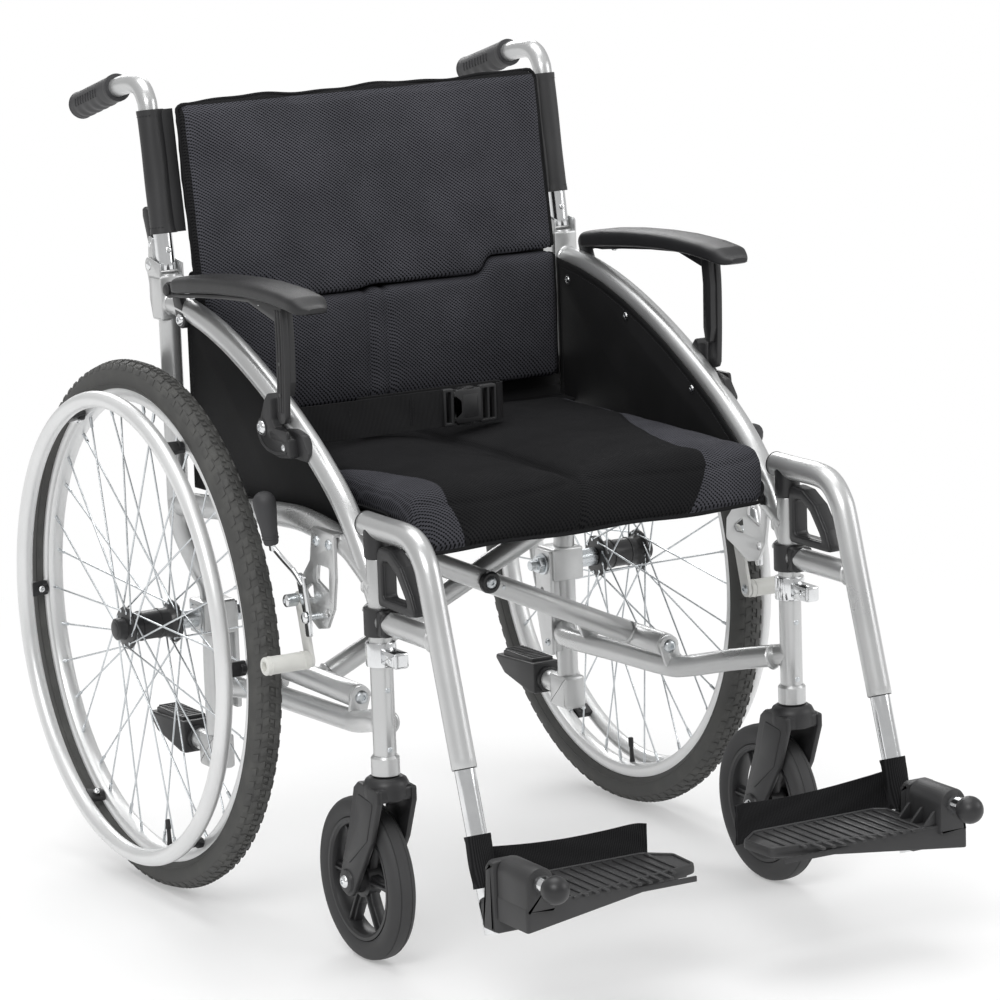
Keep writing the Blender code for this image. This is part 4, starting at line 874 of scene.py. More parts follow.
def tread_block(edge_line, first, last, sign, turn, half, side):
    """One block of tread between two points of the tyre's shoulder."""
    (d0, r0), (d1, r1) = edge_line[first], edge_line[last]
    d0, d1 = d0 + 0.0006, d1 - 0.0006
    verts = []
    for lift, shrink in ((-0.0012, 1.0), (0.0009, 0.94), (0.0013, 0.78)):
        for d, r, a in ((d0, r0, -half), (d1, r1, -half * 0.6), (d1, r1, half * 1.2), (d0, r0, half * 0.7)):
            middle_d, middle_r = (d0 + d1) / 2, (r0 + r1) / 2
            dd, rr = middle_d + (d - middle_d) * shrink, middle_r + (r - middle_r) * shrink
            rr += lift * (0.95 if first == 0 else 0.75)
            dd += lift * (0.1 if first == 0 else 0.6)
            angle = turn + a * shrink
            verts.append((side * WHEEL_X + sign * dd, rr * math.cos(angle), WHEEL_R + rr * math.sin(angle)))
    return np.array(verts), [(3, 2, 1, 0), (8, 9, 10, 11), *[(i, (i + 1) % 4, 4 + (i + 1) % 4, 4 + i)
                             for i in range(4)], *[(4 + i, 4 + (i + 1) % 4, 8 + (i + 1) % 4, 8 + i)
                             for i in range(4)]]


def centre_block(turn, half, side):
    verts = []
    for r, shrink in ((0.3015, 1.0), (0.3042, 0.95), (0.3048, 0.78)):
        for d, a in ((-0.0024, -half), (0.0024, -half * 0.4), (0.0024, half), (-0.0024, half * 0.4)):
            angle = turn + a * shrink
            verts.append((side * WHEEL_X + d * shrink, r * math.cos(angle), WHEEL_R + r * math.sin(angle)))
    return np.array(verts), [(3, 2, 1, 0), (8, 9, 10, 11), *[(i, (i + 1) % 4, 4 + (i + 1) % 4, 4 + i)
                             for i in range(4)], *[(4 + i, 4 + (i + 1) % 4, 8 + (i + 1) % 4, 8 + i)
                             for i in range(4)]]


def handrim(side):
    piece = Piece(named("push_rim", side))
    radius, tube, x = 0.2635, 0.0095, 0.3505
    ring = [(tube * math.sin(a), radius + tube * math.cos(a)) for a in np.arange(20) * math.pi / 10]
    piece.add(lathe(ring, (side * x, 0, WHEEL_R), (1, 0, 0), 160, loop=True), RIM_SILVER)
    for index in range(6):
        angle = 2 * math.pi * (index + 0.5) / 6 + math.pi / 2
        turn = Matrix.Translation((0, 0, WHEEL_R)) @ Matrix.Rotation(angle - math.pi / 2, 4, "X")
        strap = fillet([(WHEEL_X + 0.0112, 0.2588), (0.33, 0.2588), (0.344, 0.256), (0.344, 0.2648),
                        (0.33, 0.2646), (WHEEL_X + 0.0112, 0.2646)], 0.002, 4)
        plate = prism([(side * u, v) for u, v in strap], -0.0085, 0.0085, 0.0014, xz_y)
        piece.add(moved(plate, turn), BLACK)
        boss = rod((side * (WHEEL_X + 0.0112), 0, 0.2617), (side * 0.33, 0, 0.2617), 0.0062, 24, 0.0008)
        piece.add(moved(boss, turn), BLACK)
        bolt = screw_head((side * 0.333, 0.0, 0.2552), (0, 0, -1), 0.004, 0.0022)
        piece.add(moved(bolt, turn), CHROME)
    piece.done(named("wheel", side), named("handrim", side), slot="silver_paint")


# ---------------------------------------------------------------- casters

CASTER_Y = CASTER.y - SHIFT
CASTER_R = CASTER.z


def caster_fork(side):
    piece = Piece(named("caster_fork_moulded", side))
    axle = (CASTER_Y, CASTER_R)
    x = side * FRAME_X
    piece.add(lathe([(0.0, 0.0225), (0.002, 0.0246), (0.008, 0.0252), (0.017, 0.0246), (0.0218, 0.0222),
                     (0.0246, 0.018), (0.0249, 0.002)], (x, POST_Y, 0.19), (0, 0, 1), 48), BLACK)
    leg = fillet([(POST_Y - 0.024, 0.205), (POST_Y - 0.024, 0.19), (POST_Y - 0.006, 0.145),
                  *circle_at(axle, 0.017, 200, 380, 16), (POST_Y + 0.042, 0.16), (POST_Y + 0.03, 0.2),
                  (POST_Y + 0.02, 0.208)], 0.003, 3)
    rib = fillet([(POST_Y - 0.014, 0.19), (POST_Y + 0.002, 0.145), (CASTER_Y - 0.008, 0.112),
                  (CASTER_Y + 0.004, 0.113), (POST_Y + 0.031, 0.156), (POST_Y + 0.02, 0.195)], 0.005, 4)
    for s in (-1, 1):
        piece.add(at_side(side, leg, FRAME_X + s * 0.0175, FRAME_X + s * 0.0246, 0.0022), BLACK)
        piece.add(at_side(side, rib, FRAME_X + s * 0.0235, FRAME_X + s * 0.0256, 0.001), BLACK)
        piece.add(lathe([(0, 0.014), (0.003, 0.0125), (0.0036, 0.01)], (side * (FRAME_X + s * 0.024), *axle),
                        (side * s, 0, 0), 32), BLACK)
        piece.add(screw_head((side * (FRAME_X + s * 0.0272), *axle), (side * s, 0, 0), 0.0072, 0.0042),
                  CHROME)
    piece.add(block((FRAME_X - 0.024, POST_Y - 0.0225, 0.1895), (FRAME_X + 0.024, POST_Y + 0.0285, 0.2062),
                    0.005, side), BLACK)
    piece.add(cross(side, FRAME_X - 0.0275, FRAME_X + 0.0275, axle, 0.005), ZINC)
    piece.done(named("fork", side), named("caster_fork", side), slot="black_plastic")


def caster_wheel(side):
    """Moulded six-spoke wheel with paired ribs, a stepped hub and its bearing covers."""
    piece = Piece(named("caster_wheel_moulded", side))
    axle = (CASTER_Y, CASTER_R)
    centre = (side * FRAME_X, *axle)
    rim = [(-0.0125, 0.0676), (0.0125, 0.0676), (0.0125, 0.064), (0.0105, 0.0612), (0.006, 0.0596),
           (0.0, 0.059), (-0.006, 0.0596), (-0.0105, 0.0612), (-0.0125, 0.064)]
    piece.add(lathe(rim, centre, (1, 0, 0), 96, loop=True), BLACK)
    hub = [(-0.0163, 0.006), (-0.0165, 0.012), (-0.0155, 0.014), (-0.009, 0.0152), (-0.008, 0.0205),
           (0.008, 0.0205), (0.009, 0.0152), (0.0155, 0.014), (0.0165, 0.012), (0.0163, 0.006)]
    piece.add(lathe(hub, centre, (1, 0, 0), 48, loop=True), BLACK)
    for index in range(6):
        angle = math.pi * index / 3
        turn = Matrix.Translation((0, *axle)) @ Matrix.Rotation(angle, 4, "X")
        arm = fillet([(0.016, -0.0075), (0.034, -0.0046), (0.062, -0.0062), (0.062, 0.0062),
                      (0.034, 0.0046), (0.016, 0.0075)], 0.002, 3)
        low, high = side * FRAME_X - 0.005, side * FRAME_X + 0.005
        piece.add(moved(prism(arm, low, high, 0.0014), turn), BLACK)
        rib = fillet([(0.018, -0.0016), (0.061, -0.0016), (0.061, 0.0016), (0.018, 0.0016)], 0.001, 2)
        low, high = side * FRAME_X - 0.0085, side * FRAME_X + 0.0085
        piece.add(moved(prism(rib, low, high, 0.0008), turn), BLACK)
    piece.done(named("caster", side), named("caster_wheel", side), slot="black_plastic")


def caster_tyre(side):
    piece = Piece(named("caster_tyre_solid", side))
    centre = (side * FRAME_X, CASTER_Y, CASTER_R)
    profile = [(-0.0118, 0.0684), (-0.0132, 0.07), (-0.0146, 0.0738), (-0.0149, 0.078), (-0.0142, 0.0828),
               (-0.012, 0.0866), (-0.009, 0.0888), (-0.0074, 0.0894), (-0.0066, 0.0886), (-0.0058, 0.0896),
               (-0.0026, 0.09), (0.0026, 0.09), (0.0058, 0.0896), (0.0066, 0.0886), (0.0074, 0.0894),
               (0.009, 0.0888), (0.012, 0.0866), (0.0142, 0.0828), (0.0149, 0.078), (0.0146, 0.0738),
               (0.0132, 0.07), (0.0118, 0.0684)]
    piece.add(lathe(profile, centre, (1, 0, 0), 112, loop=True), CASTER_RUBBER)
    piece.done(named("caster", side), named("caster_tyre", side), slot="tyre_rubber")


# ---------------------------------------------------------------- cross brace

def brace(name, side, body, y):
    """One bar of the cross brace with its sleeve and seat rail."""
    piece = Piece(name + "_welded")
    slope = (CENTRE.z - PIVOT.z) / PIVOT.x
    rail_x, rail_z = 0.23, CENTRE.z + slope * 0.23
    top = (-side * rail_x, y, rail_z)
    piece.add(rod((side * PIVOT.x, y, PIVOT.z), top, TUBE, 36), SILVER)
    piece.add(rod((side * PIVOT.x, -0.291, PIVOT.z), (side * PIVOT.x, -0.112, PIVOT.z), 0.0135, 36), SILVER)
    piece.add(rod((-side * rail_x, -0.44, 0.461), (-side * rail_x, -0.02, 0.461), 0.011, 32), SILVER)
    for end in (-0.44, -0.02):
        way = -1 if end < -0.2 else 1
        piece.add(lathe([(-0.004, 0.0111), (-0.0035, 0.0118), (0.0006, 0.0118), (0.0014, 0.0104),
                         (0.0015, 0.002)], (-side * rail_x, end - way * 0.0014, 0.461), (0, way, 0), 32),
                  BLACK)
    run = unit(np.array(top) - np.array((side * PIVOT.x, y, PIVOT.z)))
    piece.add(weld_bead(np.array(top) - run * 0.0105, run, TUBE - 0.0006), SILVER)
    piece.add(weld_bead(np.array((side * PIVOT.x, y, PIVOT.z)) + run * 0.013, run, TUBE - 0.0006), SILVER)
    front = y < CENTRE.y - SHIFT
    way = -1 if front else 1
    inner = CENTRE.z
    boss = (0.0, y - way * TUBE * 0.2, inner)
    piece.add(rod(boss, (0.0, y + way * (TUBE + 0.0001), inner), 0.011, 32, 0.0004), SILVER)
    for place in (0.42, 0.62, 0.8):
        spot = np.array((side * PIVOT.x, y, PIVOT.z)) * (1 - place) + np.array(top) * place
        if front:
            piece.add(screw_head(spot + np.array((0, -TUBE + 0.0004, 0)), (0, -1, 0), 0.0026, 0.001, False),
                      ZINC)
    piece.done(body, name, slot="silver_paint")


def brace_bolt():
    piece = Piece("brace_bolt_capped")
    y, z = CENTRE.y - SHIFT, CENTRE.z
    front, rear = y - 0.014 - TUBE - 0.0004, y + 0.014 + TUBE + 0.0004
    piece.add(rod((0, front - 0.003, z), (0, rear + 0.003, z), 0.0045, 20), ZINC)
    piece.add(lathe([(0, 0.0122), (0.0008, 0.013), (0.004, 0.0126), (0.0058, 0.0105), (0.006, 0.008),
                     (0.0052, 0.007), (0.0052, 0.001)], (0, front, z), (0, -1, 0), 40), BLACK)
    piece.add(screw_head((0, front - 0.0048, z), (0, -1, 0), 0.0066, 0.0034), ZINC)
    piece.add(hex_nut((0, rear, z), (0, 1, 0), 0.0085, 0.0055), ZINC)
    piece.done("rear_brace", "brace_bolt", slot="black_plastic")


# ---------------------------------------------------------------- half-folding back

CANE_PATH = [(0.0225, 0.706), (0.032, 0.7662), (0.041, 0.824), (0.0505, 0.884), (0.055, 0.898),
             (0.065, 0.909), (0.08, 0.9135), (0.098, 0.9125), (0.115, 0.9095), (0.132, 0.9053),
             (0.18, 0.8919), (0.226, 0.8791)]
BAND_LOW, BAND_HIGH = (0.0291, 0.747), (0.0508, 0.886)
GRIP_START, GRIP_END = (0.13, 0.9059), (0.238, 0.8757)


def back_cane(side):
    piece = Piece(named("back_cane_bent", side))
    path = smooth_path(in_plane(side, FRAME_X, CANE_PATH), 7)
    split = int(np.argmin(np.abs(path[:, 2] - 0.78) + (path[:, 1] > 0.06)))
    piece.add(sweep(path[:split + 1], 0.011, 32, 0.0002), CHROME)
    piece.add(sweep(path[split:], 0.0112, 32), SILVER)
    outline = fillet([(0.033, 0.744), (0.033, 0.716), *circle_at(BACK, 0.008, 200, 380, 14),
                      (0.044, 0.73), (0.042, 0.744)], 0.0025, 3)
    piece.add(at_side(side, outline, FRAME_X - 0.0122, FRAME_X + 0.0122, 0.001), SILVER)
    piece.add(cross(side, FRAME_X - 0.013, FRAME_X + 0.013, (0.0385, 0.735), 0.0034), CHROME)
    spot = (side * (FRAME_X - 0.0), 0.0265 - 0.0112, 0.73)
    piece.add(screw_head(spot, (0, -1, 0.15), 0.0036, 0.0016, False), CHROME)
    piece.done(named("upper_back", side), named("back_cane", side), slot="silver_paint")


def push_grip(side):
    """Rubber handle with finger bumps underneath, a collar at its mouth and a domed end."""
    piece = Piece(named("push_grip_ribbed", side))
    a, b = (np.array((side * FRAME_X, *p)) for p in (GRIP_START, GRIP_END))
    length = np.linalg.norm(b - a)
    way = unit(b - a)
    down = unit(np.cross(way, (1, 0, 0)))
    if down[2] > 0:
        down = -down
    side_way = np.cross(down, way)
    shape = circle(36)
    rings = []
    stations = np.linspace(0, 1, 64)
    for t in stations:
        s = t * length
        r = 0.0157
        if s < 0.007:
            r = 0.0163
        elif t > 0.93:
            r = 0.0163 * math.sqrt(max(0.0, 1 - ((t - 0.93) / 0.074) ** 2)) + 0.0002
        bump = 0.0
        if 0.02 < s < length - 0.016:
            bump = 0.0017 * (0.5 - 0.5 * math.cos((s - 0.02) / (length - 0.036) * 4 * 2 * math.pi)) - 0.0007
        under = np.clip(shape[:, 0], 0, 1) ** 1.3
        reach = np.minimum(r + bump * under, 0.0165)
        rings.append(a + way * s + reach[:, None] * (shape[:, :1] * down + shape[:, 1:] * side_way))
    lip = [a + way * 0.0001 + 0.012 * (shape[:, :1] * down + shape[:, 1:] * side_way)]
    piece.add(skin(lip + rings), GRIP)
    for k in range(9):
        for sign in (-1, 1):
            s = 0.03 + k * 0.0072
            base = a + way * s + side_way * sign * 0.01545 - down * 0.001
            piece.add(sweep(np.array([base - down * 0.005, base + side_way * sign * 0.0005,
                                      base + down * 0.005]), 0.0008, 8, 0.0002), GRIP)
    piece.done(named("upper_back", side), named("push_grip", side), slot="grip_rubber", sharp=50)


def back_sleeve(side):
    """Sleeve of coated fabric round the cane, with bound ends, a seam and the hem to the cushion."""
    piece = Piece(named("back_sleeve_sewn", side))
    low, high = (np.array((side * FRAME_X, *p)) for p in (BAND_LOW, BAND_HIGH))
    way = unit(high - low)
    across = np.array((1.0, 0, 0))
    front = np.cross(across, way)
    rings = []
    angles = np.arange(40) * 2 * math.pi / 40
    for t in np.linspace(0, 1, 40):
        wave = 0.0002 * np.sin(angles * 3 + t * 9)
        r = 0.01345 + wave + (0.0005 if t < 0.04 or t > 0.96 else 0.0)
        centre = low + (high - low) * t
        pull = np.clip(-side * np.cos(angles), 0, 1) ** 6 * 0.004
        rings.append(centre + (r + pull)[:, None] * (np.cos(angles)[:, None] * across
                                                     + np.sin(angles)[:, None] * front))
    piece.add(skin(rings), VINYL)
    hem = [(0.2325, -0.0085), (0.2325, 0.0055), (FRAME_X - 0.009, 0.0045), (FRAME_X - 0.009, -0.008)]
    rings = []
    for t in np.linspace(0.004, 0.996, 30):
        centre = np.array((0.0, *(np.array(BAND_LOW) + (np.array(BAND_HIGH) - BAND_LOW) * t)))
        swell = 1 + 0.03 * math.sin(t * 9)
        rings.append(np.array([centre + (side * x, v * swell * way[2], -v * way[1])
                               for x, v in fillet(hem, 0.003, 4)]))
    piece.add(skin(rings), VINYL)
    for offset in (0.001, 0.0026):
        for end in (low + way * (0.006 + offset), high - way * (0.006 + offset)):
            loop = [end + 0.0141 * (math.cos(a) * across + math.sin(a) * front) for a in np.linspace(
                math.radians(-150 if side > 0 else -30), math.radians(-150 if side > 0 else -30)
                + side * math.radians(230), 60)]
            if offset < 0.002:
                piece.add(stitches(loop, 0.0042, 0.0026, 0.0003), THREAD)
    piece.done(named("upper_back", side), named("back_sleeve", side), slot="black_nylon", sharp=45)


def back_latch(side):
    piece = Piece(named("back_latch_lever", side))
    outline = fillet([(0.0458, 0.7285), (0.05, 0.727), (0.055, 0.731), (0.068, 0.764),
                      (0.068, 0.772), (0.062, 0.7755), (0.056, 0.772), (0.0455, 0.738)], 0.003, 4)
    piece.add(at_side(side, outline, FRAME_X - 0.006, FRAME_X + 0.006, 0.0016), BLACK)
    for k in range(4):
        y, z = 0.0655 - k * 0.0022, 0.76 - k * 0.0062
        piece.add(block((FRAME_X - 0.0045, y, z), (FRAME_X + 0.0045, y + 0.0022, z + 0.0022), 0.0006, side),
                  BLACK)
    piece.done(named("latch", side), named("back_latch", side), slot="black_plastic")


# ---------------------------------------------------------------- front rigging

BAR_Z = joint_at("hanger_swing_left").z
LEG_END, LEG_KNEE = (-0.6325, 0.258), (-0.573, 0.445)
FLIP_X, FLIP_Z = joint_at("footplate_flip_left").x, joint_at("footplate_flip_left").z
PLATE_FRONT = joint_at("footplate_flip_left").y - SHIFT
HANGER_TOP = 0.4857


def leg_point(z):
    share = (z - LEG_END[1]) / (LEG_KNEE[1] - LEG_END[1])
    return tuple(a + (b - a) * share for a, b in zip(LEG_END, LEG_KNEE))


def hanger(side):
    piece = Piece(named("hanger_bent", side))
    x = side * FRAME_X
    path = smooth_path(in_plane(side, FRAME_X, [(-0.437, HANGER_TOP), (-0.48, HANGER_TOP),
                                                (-0.524, HANGER_TOP), (-0.547, 0.48), (-0.564, 0.464),
                                                (-0.573, 0.445), (-0.5895, 0.393), (-0.611, 0.3256),
                                                LEG_END]), 7)
    piece.add(sweep(path, 0.0135, 36, 0.0012), SILVER)
    way = unit(np.array((x, *LEG_END)) - np.array((x, *LEG_KNEE)))
    end = np.array((x, *LEG_END))
    piece.add(lathe([(0.0002, 0.0134), (0.0006, 0.0126), (0.0004, 0.0116), (-0.004, 0.0113)], end, way, 36),
              BLACK)
    piece.add(rod((x, POST_Y - 0.004, BAR_Z), (x, -0.59, BAR_Z), 0.0125, 32), SILVER)
    piece.add(weld_bead((x, -0.58, BAR_Z), (0, -1, 0), 0.0122), SILVER)
    collar = [(0.0, 0.0138), (0.0002, 0.0166), (0.0012, 0.0172), (0.03, 0.0172), (0.0308, 0.0166),
              (0.031, 0.0138)]
    piece.add(lathe(collar, (x, POST_Y, 0.3685), (0, 0, 1), 44, loop=True), BLACK)
    piece.add(block((FRAME_X - 0.0125, POST_Y - 0.03, 0.3705), (FRAME_X + 0.0125, POST_Y - 0.012, 0.3978),
                    0.004, side), BLACK)
    piece.add(lathe([(0.0, 0.0128), (0.0015, 0.014), (0.029, 0.014), (0.0325, 0.0132), (0.0333, 0.01)],
                    (x, POST_Y, POST_TOP + 0.0004), (0, 0, 1), 40), BLACK)
    cap = np.array((x, -0.437, HANGER_TOP))
    piece.add(lathe([(-0.0006, 0.0136), (0.0006, 0.0138), (0.0018, 0.0126), (0.0024, 0.007)], cap, (0, 1, 0),
                    36), BLACK)
    piece.done(named("swing_hanger", side), named("hanger", side), slot="silver_paint")
    button = Piece(named("footrest_button", side))
    place = np.array((x, *leg_point(0.3)))
    out = unit(np.cross(way, (1, 0, 0)))
    out = out if out[1] > 0 else -out
    button.add(lathe([(0, 0.006), (0.0016, 0.006), (0.0022, 0.0046), (0.0042, 0.004), (0.0048, 0.002)],
                     place + out * 0.013, out, 24), BLACK)
    button.done(named("swing_hanger", side), slot="black_plastic")


def hanger_release(side):
    piece = Piece(named("release_loop", side))
    edge = fillet([(-0.4745, 0.404), (-0.4745, 0.46), (-0.48, 0.468), (-0.502, 0.466),
                   (-0.525, 0.453), (-0.545, 0.427), (-0.556, 0.404)], 0.006, 5)
    window = fillet([(-0.4845, 0.413), (-0.4845, 0.454), (-0.499, 0.4545), (-0.516, 0.444),
                     (-0.533, 0.423), (-0.5395, 0.413)], 0.006, 5)
    low, high = sorted((side * (FRAME_X - 0.0095), side * (FRAME_X + 0.0095)))
    piece.add(pierced([edge, window], low, high, 0.0022), BLACK)
    low, high = sorted((side * (FRAME_X - 0.0062), side * (FRAME_X + 0.0062)))
    channel_edge, channel_window = grown(edge, 0.0006), grown(window, -0.0006)
    piece.add(pierced([channel_edge, channel_window], low, high, 0.0008), SATIN)
    piece.done(named("release", side), named("hanger_release", side), slot="black_plastic")


def footrest(side):
    piece = Piece(named("footrest_tube_plated", side))
    piece.add(rod((side * FRAME_X, *leg_point(0.094)), (side * FRAME_X, *leg_point(0.3)), 0.011, 36), CHROME)
    body = fillet([(-0.686, 0.102), (-0.677, 0.133), (-0.69, 0.134), (-0.692, 0.17),
                   (-0.7, 0.179), (-0.7126, 0.179), (-0.7126, 0.102)], 0.003, 4)
    piece.add(at_side(side, body, 0.24, 0.2755, 0.006), PLATE)
    piece.add(rod((side * FLIP_X, -0.7, FLIP_Z), (side * FLIP_X, -0.7935, FLIP_Z), 0.006, 28), CHROME)
    collar = [(0, 0.0058), (0.0002, 0.0094), (0.001, 0.01), (0.016, 0.01), (0.017, 0.0092), (0.0172, 0.0058)]
    piece.add(lathe(collar, (side * FLIP_X, PLATE_FRONT - 0.0006, FLIP_Z), (0, -1, 0), 40), CHROME)
    ball = [(0.0152 * (1 - math.cos(a)), 0.015 * math.sin(a)) for a in np.linspace(0.42, math.pi - 0.08, 18)]
    piece.add(lathe(ball, (side * FLIP_X, -0.788, FLIP_Z), (0, -1, 0), 40), BLACK)
    piece.done(named("footrest", side), named("footrest_tube", side), slot="chrome")


def footplate(side):
    """Moulded wedge plate with grip ribs on its deck, a rim, and the barrel on the hinge rod."""
    piece = Piece(named("footplate_ribbed", side))
    outline = fillet([(0.272, PLATE_FRONT), (0.272, -0.7135), (0.238, -0.7135), (0.238, -0.675),
                      (0.225, -0.665), (0.07, -0.665), (0.043, -0.689), (0.046, PLATE_FRONT + 0.038)],
                     (0.004, 0.002, 0.002, 0.004, 0.004, 0.012, 0.01, 0.01), 5)

    def under(v):
        verts = v.copy()
        lower = verts[:, 2] < 0.131
        verts[lower, 2] += 0.1165 + (0.1345 - 0.1165) * (0.272 - np.abs(verts[lower, 0])) / 0.229 - 0.1165
        return verts
    piece.add(prism([(side * u, v) for u, v in outline], 0.1165, 0.1428, 0.0016, under), PLATE)
    rim_path = grown(outline, -0.0022)
    rings = []
    flat = np.array([(0.0019 * math.cos(a), 0.0022 * math.sin(a)) for a in np.arange(10) * math.pi / 5])
    loop = np.array([(side * u, v, 0.1427) for u, v in rim_path])
    count = len(loop)
    for i in range(count):
        way = unit(loop[(i + 1) % count] - loop[i - 1])
        out = np.cross(way, (0, 0, 1))
        rings.append(loop[i] + flat[:, :1] * out + flat[:, 1:] * np.array((0, 0, 1.0)))
    piece.add(skin(rings, loop=True), PLATE)
    for k in range(13):
        x = 0.066 + k * 0.0128
        front = PLATE_FRONT + 0.008 + (0.03 - 0.0135 * k if k < 2 else 0.0)
        rib = fillet([(x, front), (x + 0.0052, front), (x + 0.0052, -0.6715), (x, -0.6715)], 0.0018, 3)
        piece.add(prism([(side * u, v) for u, v in rib], 0.1418, 0.1446, 0.0008, xy_z), PLATE)
    for k in range(4):
        y = -0.69 - k * 0.02
        rib = fillet([(0.055, y), (0.232, y), (0.232, y - 0.0022), (0.055, y - 0.0022)], 0.0008, 2)
        low = 0.13
        piece.add(prism([(side * u, v) for u, v in rib], low, 0.136, 0.0004, xy_z), PLATE)
    housing = fillet([(FLIP_X - 0.017, 0.136), (FLIP_X + 0.0166, 0.136),
                      *circle_at((FLIP_X, FLIP_Z), 0.0168, 0, 180, 20)], 0.0004, 2)
    piece.add(prism([(side * u, v) for u, v in housing], PLATE_FRONT + 0.0006, -0.7133, 0.003, xz_y), PLATE)
    web = fillet([(0.2385, 0.14), (0.2385, 0.162), (0.22, 0.142)], 0.002, 3)
    for y in (-0.765, -0.742, -0.719):
        piece.add(prism([(side * u, v) for u, v in web], y, y + 0.0035, 0.0006, xz_y), PLATE)
    piece.done(named("plate", side), named("footplate", side), slot="black_plastic")


def heel_strap(side):
    """Webbing strap: a sleeve round the footrest's tube and a draped band on to the plate's far corner."""
    piece = Piece(named("heel_strap_sewn", side))
    low, high = (np.array((side * FRAME_X, *leg_point(z))) for z in (0.14, 0.192))
    way = unit(high - low)
    across, front = np.array((1.0, 0, 0)), np.cross((1.0, 0, 0), way)
    a = np.arange(36) * math.pi / 18
    rings = []
    for t in np.linspace(0, 1, 20):
        r = 0.0138 + 0.0005 * np.sin(a * 3 + 7 * t) + (0.0004 if t < 0.06 or t > 0.94 else 0)
        rings.append(low + (high - low) * t + r[:, None] * (np.cos(a)[:, None] * across
                                                            + np.sin(a)[:, None] * front))
    piece.add(skin(rings), STRAP)
    path = smooth_path([(side * (FRAME_X - 0.002), -0.6475, 0.156), (side * 0.235, -0.6445, 0.152),
                        (side * 0.19, -0.642, 0.147), (side * 0.145, -0.6425, 0.145),
                        (side * 0.1, -0.6455, 0.1465), (side * 0.068, -0.651, 0.15),
                        (side * 0.056, -0.656, 0.15)], 8)
    section = ribbon(0.0215, 0.0012)
    rings = []
    for k, (p, f) in enumerate(zip(path, frames(path, (0, 0, 1)))):
        t = k / (len(path) - 1)
        lean = 0.25 * math.sin(math.pi * t)
        upright = unit(np.array((0, lean, 1.0)))
        out = unit(np.cross(f[0], upright))
        ripple = 0.0006 * np.sin(section[:, :1] * 300 + t * 20)
        rings.append(p + section[:, :1] * upright + (section[:, 1:] + ripple * (abs(section[:, 1:]) > 0)) *
                     out)
    piece.add(skin(rings), STRAP)
    piece.done(None, named("heel_strap", side), slot="black_nylon", sharp=50)
    return bpy.data.objects[piece.name]


def ribbon(half, thick, steps=10):
    """The cross-section of a flat tape, as (along its width, through it) pairs."""
    top = [(half * t, thick) for t in np.linspace(-0.985, 0.985, steps)]
    return np.array(top + [(half, 0.0)] + [(u, -v) for u, v in top[::-1]] + [(-half, 0.0)])


# ---------------------------------------------------------------- armrests

PAD_X, STRUT_X = 0.267, 0.2762
PAD_UNDER = [(-0.033, 0.688), (-0.05, 0.689), (-0.095, 0.6945), (-0.16, 0.7005), (-0.22, 0.704),
             (-0.285, 0.7045), (-0.33, 0.701), (-0.344, 0.6985)]
PAD_TOP = [(-0.033, 0.702), (-0.045, 0.707), (-0.09, 0.714), (-0.14, 0.719), (-0.2, 0.7225),
           (-0.25, 0.7235), (-0.305, 0.7215), (-0.34, 0.7175), (-0.352, 0.711)]


def level(table, y):
    ys, zs = zip(*sorted(table))
    return float(np.interp(y, ys, zs))


def armrest_pad(side):
    """Arched pad with a crowned top, rolled edges, a rounded tip and a seam line along its flank."""
    piece = Piece(named("armrest_pad_skinned", side))
    rings = []
    y0, y1 = -0.0332, -0.36
    for t in np.linspace(0, 1, 76):
        t = 0.5 - 0.5 * math.cos(math.pi * t)
        y = y0 + (y1 - y0) * t
        low, high = level(PAD_UNDER, max(y, -0.344)), level(PAD_TOP, y)
        tip = max(0.0, (-0.326 - y) / 0.034)
        heel = max(0.0, (y + 0.05) / 0.0168)
        half = 0.0225 * (1 - tip ** 2.4 * 0.55) * (1 - heel ** 2.2 * 0.35) * (0.93 + 0.07 * min(1, t * 6))
        pinch = 1 - 0.62 * tip ** 4 - 0.45 * heel ** 4
        middle, tall = (low + high) / 2, (high - low) / 2 * pinch
        ring = []
        for a in np.arange(44) * 2 * math.pi / 44:
            c, s = math.cos(a), math.sin(a)
            u = half * math.copysign(abs(c) ** 0.52, c)
            v = tall * math.copysign(abs(s) ** (0.62 if s > 0 else 0.42), s)
            if s > 0:
                v += 0.0006 * (1 - (u / max(half, 1e-4)) ** 2)
            groove = 0.0006 * math.exp(-((v + tall * 0.35) / 0.0011) ** 2)
            u -= math.copysign(groove, u) if abs(c) > 0.5 else 0.0
            ring.append((side * (PAD_X + u), y, middle + v))
        rings.append(np.array(ring))
    piece.add(skin(rings), PAD)
    piece.done(named("armrest", side), named("armrest_pad", side), slot="black_plastic", sharp=50)


